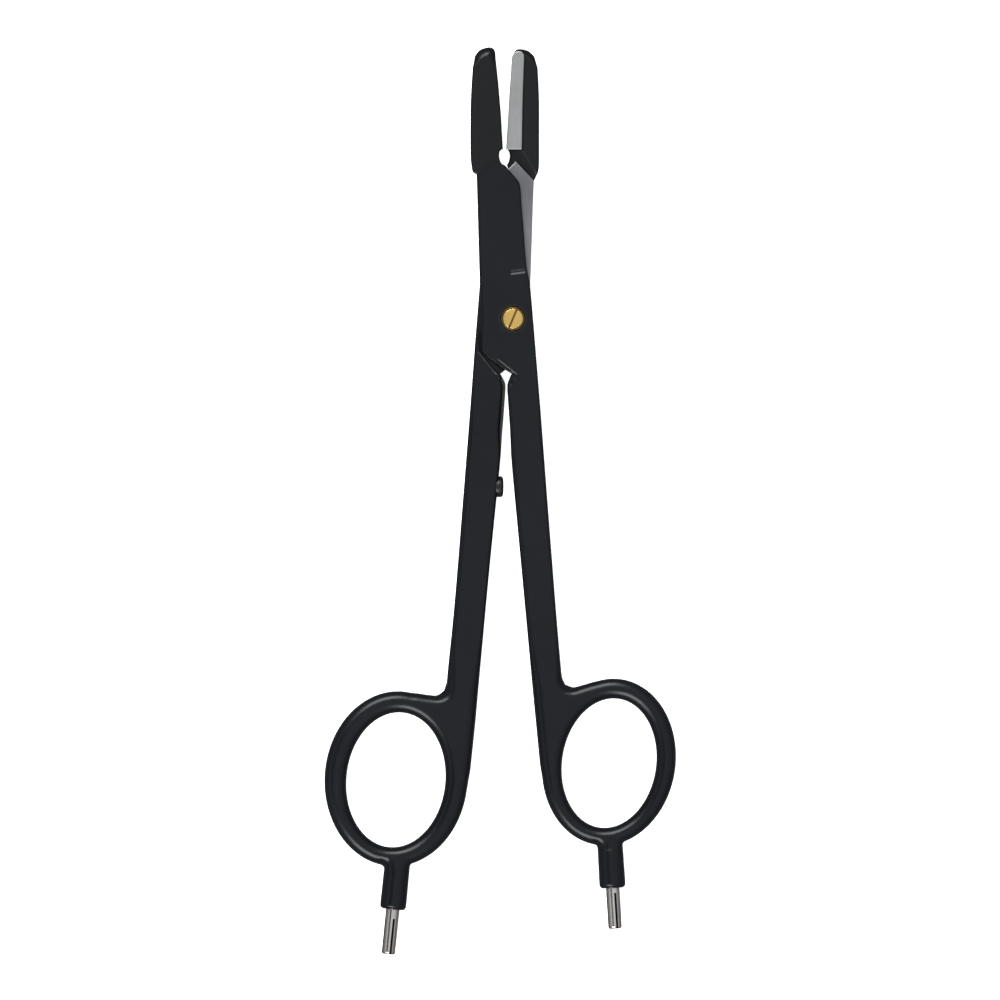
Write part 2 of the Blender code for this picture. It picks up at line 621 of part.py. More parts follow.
def pivot_bush(look):
    """Insulating bush in the upper half: a sleeve round the screw and a tray under the brass cup."""
    hole, inner = SCREW_SHANK + RUNNING, CUP_OUTER + BOND
    foot = MIDDLE + WASHER_HALF + 2 * BOND
    floor, tray = bush_floor(), CUP_FOOT - BOND
    profile = [(hole, foot), (BUSH_OUTER, foot), (BUSH_OUTER, floor), (BUSH_FLANGE, floor),
               (BUSH_FLANGE, BODY_HIGH), (inner, BODY_HIGH), (inner, tray), (hole, tray)]
    return finish(turned("pivot_bush", profile), look)


def screw_cup(look):
    """Thin brass cup that the screw head turns in."""
    hole = SCREW_SHANK + RUNNING
    profile = [(hole, CUP_FOOT), (CUP_OUTER, CUP_FOOT), (CUP_OUTER, CUP_TOP - 0.12), (CUP_OUTER - 0.12, CUP_TOP),
               (CUP_INNER, CUP_TOP), (CUP_INNER, CUP_FOOT + CUP_FLOOR), (hole, CUP_FOOT + CUP_FLOOR)]
    return finish(turned("screw_cup", profile), look)


# ---------------------------------------------------------------- assembly

def half(name, pieces):
    """An empty on the pivot axis that carries the pieces of one half."""
    carrier = bpy.data.objects.new(name, None)
    carrier.location = (0.0, 0.0, MIDDLE * MM)
    bpy.context.scene.collection.objects.link(carrier)
    for piece in pieces:
        piece.parent = carrier
        piece.location = (0.0, 0.0, -MIDDLE * MM)
    return carrier


def main():
    clear_scene()
    steel = material("forged_stainless_steel", (0.42, 0.42, 0.43), 0.38, 1.0)
    strip = material("ground_cutting_strip", (0.62, 0.62, 0.64), 0.32, 1.0)
    coat = material("black_insulating_coat", (0.018, 0.019, 0.021), 0.42, 0.0)
    cover = material("black_moulded_cover", (0.016, 0.017, 0.019), 0.48, 0.0)
    brass = material("turned_brass", (0.75, 0.55, 0.22), 0.30, 1.0)
    plated = material("nickel_plated_contact", (0.60, 0.60, 0.62), 0.22, 1.0)
    insulator = material("dark_insulator", (0.022, 0.022, 0.024), 0.50, 0.0)
    half("lower_half", [
        lower_limb(steel), lower_cutting_strip(strip), lower_blade_cover(cover), lower_handle_coat(coat),
        contact_pin("lower_contact_pin", LEFT_STEM, plated),
        finish(stop_solid("closing_stop", 0.0), insulator),
        pivot_nut(brass), pivot_screw(brass), joint_washer(insulator),
    ])
    half("upper_half", [
        upper_limb(steel), upper_cutting_strip(strip), upper_blade_cover(cover), upper_handle_coat(coat),
        contact_pin("upper_contact_pin", RIGHT_STEM, plated),
        pivot_bush(insulator), screw_cup(brass),
    ])


main()
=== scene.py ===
"""Looks of the insulated ring-handled scissors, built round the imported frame.

The scissors lie flat with the blade tips towards +Y, and the origin is on the pivot axis in the plane
that the pivot nut rests on. Every shape below is written in millimetres and becomes metres where its
mesh is made. Broad black pieces are height fields over a triangulated plan: a plan outline, its
rounded edges and its steps give the height at each point. Turned pieces come from one Geometry Nodes
lathe, and the split plug contacts from that lathe and a ring of saw cuts.
"""

import logging
import math
from collections.abc import Callable, Sequence
from dataclasses import dataclass, field
from enum import Enum

import bpy
import numpy as np
from mathutils import Matrix, Vector
from mathutils.geometry import delaunay_2d_cdt


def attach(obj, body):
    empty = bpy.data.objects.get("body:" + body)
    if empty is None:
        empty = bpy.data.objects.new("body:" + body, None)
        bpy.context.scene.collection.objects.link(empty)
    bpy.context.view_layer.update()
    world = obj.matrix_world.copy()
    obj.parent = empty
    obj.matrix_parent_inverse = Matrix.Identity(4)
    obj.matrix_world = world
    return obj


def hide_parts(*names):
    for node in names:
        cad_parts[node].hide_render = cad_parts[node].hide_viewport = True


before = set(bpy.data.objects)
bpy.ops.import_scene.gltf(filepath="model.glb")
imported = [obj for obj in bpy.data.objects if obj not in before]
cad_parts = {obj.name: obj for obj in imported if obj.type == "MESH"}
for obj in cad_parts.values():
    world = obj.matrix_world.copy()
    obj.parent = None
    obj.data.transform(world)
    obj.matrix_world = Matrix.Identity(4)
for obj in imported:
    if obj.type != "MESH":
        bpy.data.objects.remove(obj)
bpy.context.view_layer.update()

LOG = logging.getLogger("scissors")
MM = 0.001

Point = tuple[float, float]
Heights = Callable[[np.ndarray], np.ndarray]

# Heights above the resting plane, and the half thickness of a shank
MIDDLE = 2.95
HALF = 2.5
LOW = MIDDLE - HALF
HIGH = MIDDLE + HALF
LOWER_LAP_TOP = 2.90
UPPER_LAP_FOOT = 3.00


class Body(Enum):
    """The two CAD bodies that every piece rides on."""

    LOWER = "lower_half"
    UPPER = "upper_half"


class Slot(Enum):
    """The record's material slots."""

    STEEL = "steel"
    STRIP = "strip"
    COVER = "cover"
    COAT = "coat"
    CONTACT = "contact"
    STOP = "stop"
    BRASS = "brass"
    INSULATOR = "insulator"


# ------------------------------------------------------------------------------ plan curves

def smooth(*points: Point, steps: int = 12) -> list[Point]:
    """Points along a Catmull-Rom curve.

    Args:
        points: what the curve runs through, both ends included.
        steps: how many stretches lie between two of them.

    Returns:
        The curve's points.
    """
    padded = [points[0], *points, points[-1]]
    curve = []
    for before, start, end, after in zip(padded, padded[1:], padded[2:], padded[3:]):
        for step in range(steps):
            t = step / steps
            weights = (-t + 2 * t**2 - t**3, 2 - 5 * t**2 + 3 * t**3, t + 4 * t**2 - 3 * t**3, t**3 - t**2)
            curve.append(tuple(
                0.5 * sum(w * p[axis] for w, p in zip(weights, (before, start, end, after)))
                for axis in (0, 1)
            ))
    return [*curve, points[-1]]


@dataclass(frozen=True)
class Oval:
    """An ellipse in plan whose top leans to the right; turns run clockwise from its top."""

    centre: Point
    half_length: float
    half_width: float
    lean: float

    def place(self, turn: float) -> Vector:
        """The point at a turn in degrees."""
        up = Vector((math.sin(math.radians(self.lean)), math.cos(math.radians(self.lean))))
        right = Vector((up.y, -up.x))
        along, across = math.cos(math.radians(turn)), math.sin(math.radians(turn))
        return Vector(self.centre) + up * self.half_length * along + right * self.half_width * across

    def outward(self, turn: float) -> Vector:
        """The unit vector that points away from the oval at a turn in degrees."""
        step = self.place(turn + 0.01) - self.place(turn - 0.01)
        return Vector((-step.y, step.x)).normalized()

    def arc(self, start: float = 0.0, end: float = 360.0, steps: int = 240) -> list[Point]:
        """Points from one turn to another."""
        return [tuple(self.place(start + (end - start) * step / steps)) for step in range(steps + 1)]

    def loop(self) -> np.ndarray:
        """The whole oval as an open list of points."""
        return np.array(self.arc()[:-1])


def round_corner(before: Point, corner: Point, after: Point, radius: float, steps: int = 8) -> list[Point]:
    """The arc that rounds a corner.

    Args:
        before: a point on the way in.
        corner: the corner itself.
        after: a point on the way out.
        radius: the arc's radius.
        steps: stretches in the arc.

    Returns:
        The arc's points, from the way in to the way out.
    """
    here = Vector(corner)
    arrive, leave = (here - Vector(before)).normalized(), (Vector(after) - here).normalized()
    turn = arrive.angle_signed(leave)
    reach = radius * math.tan(abs(turn) / 2)
    start = here - arrive * reach
    side = math.copysign(1.0, -turn)
    centre = start + Vector((-arrive.y, arrive.x)) * side * radius
    spoke = start - centre
    points = []
    for step in range(steps + 1):
        angle = side * abs(turn) * step / steps
        points.append((
            centre.x + spoke.x * math.cos(angle) - spoke.y * math.sin(angle),
            centre.y + spoke.x * math.sin(angle) + spoke.y * math.cos(angle),
        ))
    return points


def resampled(points: Sequence[Point], spacing: float) -> np.ndarray:
    """The same line with even spacing between its corners.

    Args:
        points: the line.
        spacing: the wanted distance between two points.

    Returns:
        The new points, one per row, corners and ends kept.
    """
    line = np.array(points, float)
    steps = np.diff(line, axis=0)
    line = line[np.concatenate([[True], np.hypot(*steps.T) > 1e-6])]
    steps = np.diff(line, axis=0)
    heading = np.unwrap(np.arctan2(steps[:, 1], steps[:, 0]))
    corners = [0, *(np.flatnonzero(np.abs(np.diff(heading)) > math.radians(14.0)) + 1), len(line) - 1]
    made = [line[:1]]
    for first, last in zip(corners, corners[1:]):
        stretch = line[first:last + 1]
        reach = np.concatenate([[0.0], np.cumsum(np.hypot(*np.diff(stretch, axis=0).T))])
        count = max(1, round(reach[-1] / spacing))
        wanted = np.linspace(0.0, reach[-1], count + 1)[1:]
        made.append(np.column_stack([np.interp(wanted, reach, stretch[:, axis]) for axis in (0, 1)]))
    return np.concatenate(made)


def resampled_loop(loop: np.ndarray, spacing: float) -> np.ndarray:
    """A closed loop with even spacing."""
    return resampled(closed(loop), spacing)[:-1]


def distance_to(points: np.ndarray, lines: Sequence[np.ndarray]) -> np.ndarray:
    """The shortest distance from each point to a set of open lines."""
    nearest = np.full(len(points), np.inf)
    starts = np.concatenate([line[:-1] for line in lines])
    spans = np.concatenate([np.diff(line, axis=0) for line in lines])
    for start, span in zip(starts, spans):
        away = points - start
        share = np.clip((away @ span) / max(span @ span, 1e-12), 0.0, 1.0)
        gap = away - share[:, None] * span
        np.minimum(nearest, gap[:, 0] ** 2 + gap[:, 1] ** 2, out=nearest)
    return np.sqrt(nearest)


def inside(points: np.ndarray, loop: np.ndarray) -> np.ndarray:
    """Whether each point lies inside a closed loop."""
    found = np.zeros(len(points), bool)
    x, y = points.T
    for (x0, y0), (x1, y1) in zip(loop, np.roll(loop, -1, axis=0)):
        if y0 != y1:
            crossing = (y0 > y) != (y1 > y)
            found ^= crossing & (x < x0 + (y - y0) * (x1 - x0) / (y1 - y0))
    return found


def signed_distance(points: np.ndarray, loop: np.ndarray) -> np.ndarray:
    """Distance to a closed loop, positive inside it."""
    reach = distance_to(points, [closed(loop)])
    return np.where(inside(points, loop), reach, -reach)


def closed(loop: np.ndarray) -> np.ndarray:
    """The loop with its first point again at its end."""
    return np.concatenate([loop, loop[:1]])


def signed_area(loop: np.ndarray) -> float:
    """The loop's area, positive where it runs anticlockwise."""
    after = np.roll(loop, -1, axis=0)
    return 0.5 * float(np.sum(loop[:, 0] * after[:, 1] - after[:, 0] * loop[:, 1]))


def inset(loop: np.ndarray, distance: np.ndarray | float) -> np.ndarray:
    """The loop's points moved to their left by distance, with mitred corners."""
    arrive = loop - np.roll(loop, 1, axis=0)
    leave = np.roll(loop, -1, axis=0) - loop
    arrive /= np.hypot(*arrive.T)[:, None]
    leave /= np.hypot(*leave.T)[:, None]
    normal = np.column_stack([-arrive[:, 1] - leave[:, 1], arrive[:, 0] + leave[:, 0]])
    normal /= np.maximum(np.hypot(*normal.T), 1e-9)[:, None]
    lean = np.maximum(0.35, -normal[:, 0] * arrive[:, 1] + normal[:, 1] * arrive[:, 0])
    return loop + normal * (np.asarray(distance) / lean)[..., None]


def ramp(value: np.ndarray, start: float, end: float) -> np.ndarray:
    """A smooth rise from 0 at start to 1 at end."""
    t = np.clip((value - start) / (end - start), 0.0, 1.0)
    return t * t * (3 - 2 * t)


def quarter_round(distance: np.ndarray, width: np.ndarray | float) -> np.ndarray:
    """The height of a quarter circle, 0 at the edge and 1 from width inwards."""
    share = np.clip(distance / width, 0.0, 1.0)
    return np.sqrt(1 - (1 - share) ** 2)


def swell(value: np.ndarray, middle: float, half_width: float) -> np.ndarray:
    """A round bump, 1 at its middle and 0 from half_width away from it."""
    return np.cos(np.clip((value - middle) / half_width, -1.0, 1.0) * math.pi / 2) ** 2


def soft_max(first: np.ndarray, second: np.ndarray, blend: float) -> np.ndarray:
    """The larger of two heights, with the crease between them filled over blend."""
    share = np.clip(0.5 + 0.5 * (first - second) / blend, 0.0, 1.0)
    return second + (first - second) * share + blend * share * (1 - share)


# ------------------------------------------------------------------------------ plans and slabs

@dataclass(frozen=True)
class Run:
    """A stretch of an outline; a seam is where a neighbour meets it, so it keeps a square edge."""

    points: Sequence[Point]
    seam: bool = False


@dataclass(frozen=True)
class Hole:
    """A hole through a piece, and how wide the rounding of its edge is."""

    loop: np.ndarray
    width: float = 0.0


@dataclass(frozen=True)
class Guide:
    """Rows of plan points along a straight line, where the surface bends beside it.

    reaches are the rows' distances to the line's left; around adds them to its right and
    round its start.
    """

    start: Point
    end: Point
    reaches: Sequence[float]
    around: bool = False
    spacing: float = 0.2

    def rows(self) -> np.ndarray:
        """The points of all rows."""
        start, end = np.array(self.start), np.array(self.end)
        length = float(np.hypot(*(end - start)))
        along = (end - start) / length
        left = np.array((-along[1], along[0]))
        line = start + along * np.linspace(0.0, length, max(2, round(length / self.spacing)))[:, None]
        made = [line + left * reach for reach in self.reaches]
        if self.around:
            made += [line - left * reach for reach in self.reaches]
            turns = np.radians(np.arange(100.0, 261.0, 16.0))[:, None]
            made += [start + (along * np.cos(turns) + left * np.sin(turns)) * reach for reach in self.reaches]
        return np.concatenate(made)


@dataclass
class Plan:
    """The plan of one piece: its outline, holes, steps and how finely it is cut into triangles."""

    runs: Sequence[Run]
    edge_width: Heights
    holes: Sequence[Hole] = ()
    steps: Sequence[np.ndarray] = ()
    step_width: float = 0.3
    guides: Sequence[Guide] = ()
    spacing: float = 0.36
    rows: int = 8
    step_gap: float = 0.012
    loop: np.ndarray = field(init=False)
    rounded: list[np.ndarray] = field(init=False)

    def __post_init__(self) -> None:
        """Resamples the outline and notes which of its stretches are rounded."""
        lines = [resampled(run.points, self.spacing) for run in self.runs]
        joined = np.concatenate([line[:-1] for line in lines])
        self.rounded = [line for line, run in zip(lines, self.runs) if not run.seam]
        self.loop = joined if signed_area(joined) > 0 else joined[::-1]

    def edge_distance(self, points: np.ndarray) -> np.ndarray:
        """Distance from each point to the rounded stretches of the outline."""
        return distance_to(points, self.rounded)

    def covers(self, points: np.ndarray) -> np.ndarray:
        """Whether each point lies on the piece, holes left out."""
        found = inside(points, self.loop)
        for hole in self.holes:
            found &= ~inside(points, hole.loop)
        return found

    def row_points(self, loop: np.ndarray, width: np.ndarray | float, inward: bool) -> np.ndarray:
        """Rows of points beside a loop where its edge curves.

        Args:
            loop: the loop, with the piece on its left.
            width: how far in the curve reaches.
            inward: whether the rows go to the loop's left.

        Returns:
            The points of all rows, those that fell across a narrow place left out.
        """
        made = []
        for row in range(1, self.rows + 3):
            share = 1 - math.cos(math.radians(90.0 * min(row, self.rows) / self.rows))
            if row > self.rows:
                share = 1.15 * (row - self.rows)
            reach = np.broadcast_to(np.asarray(width, float) * share, (len(loop),))
            moved = inset(loop, reach if inward else -reach)
            kept = distance_to(moved, [closed(loop)]) > 0.93 * reach
            made.append(moved[kept])
        return np.concatenate(made)

    def triangles(self) -> tuple[np.ndarray, np.ndarray]:
        """Cuts the plan into triangles.

        Returns:
            The points, and the triangles' corners, anticlockwise.
        """
        free = [self.row_points(self.loop, self.edge_width(self.loop), True)]
        fixed = [self.loop]
        for hole in self.holes:
            fixed.append(hole.loop)
            if hole.width:
                free.append(self.row_points(hole.loop, hole.width, False))
        for step in self.steps:
            step = resampled_loop(step, self.spacing)
            for side in (-1, 1):
                fixed.append(inset(step, side * self.step_gap / 2))
            for share in (0.05, 0.2, 0.4, 0.6, 0.8, 1.0, 1.3):
                free.append(inset(step, -share * self.step_width))
                free.append(inset(step, share * self.step_width))
        free += [guide.rows() for guide in self.guides]
        loose = self.thinned(np.concatenate(free), fixed)
        points = np.concatenate([*fixed, loose])
        edges, first = [], 0
        for line in fixed:
            count = len(line)
            edges += [(first + i, first + (i + 1) % count) for i in range(count)]
            first += count
        found = delaunay_2d_cdt([Vector(p) for p in points], edges, [], 0, 1e-7, False)
        corners = np.array([tuple(v) for v in found[0]])
        faces = np.array([tuple(f) for f in found[2]])
        faces = faces[self.covers(corners[faces].mean(axis=1))]
        a, b, c = corners[faces[:, 0]], corners[faces[:, 1]], corners[faces[:, 2]]
        turn = (b[:, 0] - a[:, 0]) * (c[:, 1] - a[:, 1]) - (b[:, 1] - a[:, 1]) * (c[:, 0] - a[:, 0])
        faces[turn < 0] = faces[turn < 0][:, ::-1]
        faces = faces[np.abs(turn) > 1e-9]
        used, index = np.unique(faces, return_inverse=True)
        return corners[used], index.reshape(faces.shape)

    def thinned(self, points: np.ndarray, fixed: Sequence[np.ndarray]) -> np.ndarray:
        """The free points that lie on the piece, clear of its fixed lines and of each other."""
        points = points[self.covers(points)]
        points = points[distance_to(points, [closed(line) for line in fixed]) > 0.008]
        cell = np.round(points / 0.03).astype(int)
        _, first = np.unique(cell, axis=0, return_index=True)
        return points[np.sort(first)]


def piece_from(name: str, vertices: np.ndarray, faces: Sequence[Sequence[int]]) -> bpy.types.Object:
    """A scene object from points in millimetres.

    Args:
        name: the piece's name.
        vertices: points, one per row.
        faces: corner indices, facing outwards.

    Returns:
        The object, at the origin.
    """
    mesh = bpy.data.meshes.new(name)
    mesh.from_pydata((vertices * MM).tolist(), [], faces)
    mesh.update()
    made = bpy.data.objects.new(name, mesh)
    bpy.context.scene.collection.objects.link(made)
    return made


def slab(name: str, plan: Plan, top: Heights, bottom: Heights) -> bpy.types.Object:
    """A closed piece between two height fields over one plan.

    Args:
        name: the piece's name.
        plan: its plan.
        top: gives the upper surface's height at plan points.
        bottom: gives the lower surface's.

    Returns:
        The scene object.
    """
    points, faces = plan.triangles()
    count = len(points)
    low = bottom(points)
    high = np.maximum(top(points), low + 0.02)
    vertices = np.concatenate([np.column_stack([points, high]), np.column_stack([points, low])])
    ends = np.concatenate([faces[:, [0, 1]], faces[:, [1, 2]], faces[:, [2, 0]]])
    known = {(int(a), int(b)) for a, b in ends}
    walls = [(a + count, b + count, b, a) for a, b in known if (b, a) not in known]
    sheets = np.concatenate([faces, faces[:, ::-1] + count]).tolist()
    return piece_from(name, vertices, sheets + sorted(walls))


# ------------------------------------------------------------------------------ finishes

def linear(colour: str) -> tuple[float, float, float, float]:
    """The linear RGBA of an sRGB hex colour."""
    parts = [int(colour[i:i + 2], 16) / 255 for i in (1, 3, 5)]
    return (*(p / 12.92 if p <= 0.04045 else ((p + 0.055) / 1.055) ** 2.4 for p in parts), 1.0)


def add_node(tree: bpy.types.NodeTree, kind: str, settings: dict | None = None,
             inputs: dict | None = None) -> bpy.types.Node:
    """Adds a node to a shader or geometry tree.

    Args:
        tree: the tree.
        kind: the node's type.
        settings: its properties by name.
        inputs: its sockets by name or number; a socket as value is linked, anything else is set.

    Returns:
        The node.
    """
    made = tree.nodes.new(kind)
    for name, value in (settings or {}).items():
        setattr(made, name, value)
    for key, value in (inputs or {}).items():
        if isinstance(value, bpy.types.NodeSocket):
            tree.links.new(value, made.inputs[key])
        else:
            made.inputs[key].default_value = value
    return made


class Grain(Enum):
    """How a surface was made, which decides its pattern."""

    DIPPED = "dipped"
    SPARKED = "sparked"
    GROUND = "ground"
    TURNED = "turned"
    DRAWN = "drawn"


@dataclass(frozen=True)
class Finish:
    """A surface finish: colours, shader values and a pattern whose sizes are in millimetres.

    grain_across and grain_along are the pattern's wave lengths, grain_height its depth, and
    direction is how far its lines are turned from +Y in degrees.
    """

    name: str
    colour: str
    shade: str
    grain: Grain
    roughness: float
    roughness_swing: float = 0.04
    metallic: float = 0.0
    specular: float = 0.5
    grain_across: float = 1.0
    grain_along: float = 1.0
    grain_height: float = 0.002
    direction: float = 0.0

    def build(self) -> bpy.types.Material:
        """Makes the material.

        Returns:
            A node material on Object coordinates.
        """
        made = bpy.data.materials.new(self.name)
        made.use_nodes = True
        tree = made.node_tree
        shader = tree.nodes["Principled BSDF"]
        shader.inputs["Metallic"].default_value = self.metallic
        shader.inputs["Specular IOR Level"].default_value = self.specular
        place = add_node(tree, "ShaderNodeTexCoord").outputs["Object"]
        height = self.pattern(tree, place)
        mottle = add_node(tree, "ShaderNodeTexNoise", {}, {
            "Vector": place, "Scale": 1 / (14.0 * MM), "Detail": 3.0, "Roughness": 0.55}).outputs[0]
        mixed = add_node(tree, "ShaderNodeMath", {"operation": "MULTIPLY_ADD"}, {
            0: height, 1: 0.35, 2: mottle})
        spread = add_node(tree, "ShaderNodeMapRange", {}, {
            "Value": mixed.outputs[0], "From Min": 0.38, "From Max": 0.95})
        tint = add_node(tree, "ShaderNodeMix", {"data_type": "RGBA"}, {
            0: spread.outputs[0], 6: linear(self.shade), 7: linear(self.colour)})
        gloss = add_node(tree, "ShaderNodeMapRange", {}, {
            "Value": mixed.outputs[0], "From Min": 0.35, "From Max": 1.0,
            "To Min": self.roughness - self.roughness_swing, "To Max": self.roughness + self.roughness_swing})
        bump = add_node(tree, "ShaderNodeBump", {}, {
            "Strength": 1.0, "Distance": self.grain_height * MM, "Height": height})
        tree.links.new(tint.outputs[2], shader.inputs["Base Color"])
        tree.links.new(gloss.outputs[0], shader.inputs["Roughness"])
        tree.links.new(bump.outputs[0], shader.inputs["Normal"])
        return made

    def pattern(self, tree: bpy.types.NodeTree, place: bpy.types.NodeSocket) -> bpy.types.NodeSocket:
        """The surface's fine relief.

        Args:
            tree: the material's tree.
            place: Object coordinates.

        Returns:
            A socket that holds the relief, about 0 to 1.
        """
        if self.grain is Grain.TURNED:
            rings = add_node(tree, "ShaderNodeTexWave", {
                "wave_type": "RINGS", "rings_direction": "Z", "wave_profile": "SIN"}, {
                "Vector": place, "Scale": 0.3183 / (self.grain_across * MM), "Distortion": 0.4,
                "Detail": 2.0, "Detail Scale": 1.5})
            return rings.outputs[1]
        if self.grain in (Grain.GROUND, Grain.DRAWN):
            place = add_node(tree, "ShaderNodeMapping", {}, {
                "Vector": place, "Rotation": (0.0, 0.0, math.radians(self.direction)),
            }).outputs[0]
            place = add_node(tree, "ShaderNodeVectorMath", {"operation": "MULTIPLY"}, {
                0: place, 1: (1.0, self.grain_across / self.grain_along, 1.0)}).outputs[0]
        detail = {Grain.DIPPED: 1.0, Grain.SPARKED: 4.0, Grain.GROUND: 5.0, Grain.DRAWN: 3.0}[self.grain]
        noise = add_node(tree, "ShaderNodeTexNoise", {}, {
            "Vector": place, "Scale": 1 / (self.grain_across * MM), "Detail": detail, "Roughness": 0.6})
        return noise.outputs[0]


# Fluidised-bed polyamide: a satin black skin with a faint orange peel about 1.5 mm from crest to crest
DIPPED_POLYAMIDE = Finish("dipped_polyamide", "#0a0e14", "#070a0f", Grain.DIPPED, 0.29, 0.03, specular=0.25,
                          grain_across=1.5, grain_along=1.5, grain_height=0.0035)
# Glass-filled polyamide moulding: the same black with the fine bite of a spark-eroded mould
MOULDED_POLYAMIDE = Finish("moulded_polyamide", "#0b0e12", "#080a0d", Grain.SPARKED, 0.34, 0.04,
                           specular=0.25, grain_across=0.35, grain_along=0.35, grain_height=0.0012)
# Forged stainless steel ground lengthways: darker, with fine lines that run to the tip
GROUND_STAINLESS = Finish("ground_stainless", "#94959a", "#6f7075", Grain.GROUND, 0.34, 0.08, metallic=1.0,
                          grain_across=0.22, grain_along=9.0, grain_height=0.0022, direction=-3.0)
# Fine ground stainless strip: brighter and more even, its lines a tenth of a millimetre apart
LAPPED_STAINLESS = Finish("lapped_stainless", "#a8a9aa", "#99999a", Grain.GROUND, 0.40, 0.04, metallic=1.0,
                          grain_across=0.11, grain_along=14.0, grain_height=0.0006, direction=-2.0)
# Brass faced on a lathe: warm yellow with concentric tool marks
TURNED_BRASS = Finish("turned_brass", "#eecb80", "#d9b163", Grain.TURNED, 0.27, 0.04, metallic=1.0,
                      grain_across=0.22, grain_height=0.0008)
# Brass of the screw cup: a darker, olive copy of the head's brass, dim beside the bright head
OLIVE_CUP_BRASS = Finish("olive_cup_brass", "#86733f", "#5f5130", Grain.TURNED, 0.28, 0.04, metallic=1.0,
                         grain_across=0.22, grain_height=0.0008)
# Inside of the slot sawn in the screw head: rough sawn brass, with the slot's shade painted in as a darker
# brown
SLOT_SHADE_BRASS = Finish("slot_shade_brass", "#8f7038", "#664d26", Grain.SPARKED, 0.55, 0.05, metallic=0.8,
                    grain_across=0.12, grain_along=0.12, grain_height=0.002)
# Nickel plate over drawn brass rod: bright, with faint lines along the pin
NICKEL_PLATE = Finish("nickel_plate", "#d9d7d3", "#c4c2bf", Grain.DRAWN, 0.20, 0.04, metallic=1.0,
                      grain_across=0.2, grain_along=12.0, grain_height=0.0004)
# Inside of the contacts' saw cuts: painted shade, nearly black, standing in for the shade deep in the cuts
CUT_SHADE_CONTACT = Finish("contact_cut_shade", "#17150f", "#0c0b09", Grain.SPARKED, 0.6, 0.05, metallic=0.3,
                      specular=0.2, grain_across=0.12, grain_along=0.12, grain_height=0.002)
# Moulded silicone rubber: soft black with a low sheen
SILICONE_RUBBER = Finish("silicone_rubber", "#0e1115", "#0b0d10", Grain.DIPPED, 0.33, 0.03, specular=0.36,
                         grain_across=1.2, grain_along=1.2, grain_height=0.002)
# Turned acetal: an even dull black
TURNED_ACETAL = Finish("turned_acetal", "#101113", "#0c0d0e", Grain.SPARKED, 0.45, 0.03, specular=0.35,
                       grain_across=0.3, grain_along=0.3, grain_height=0.0008)


# ------------------------------------------------------------------------------ turned pieces

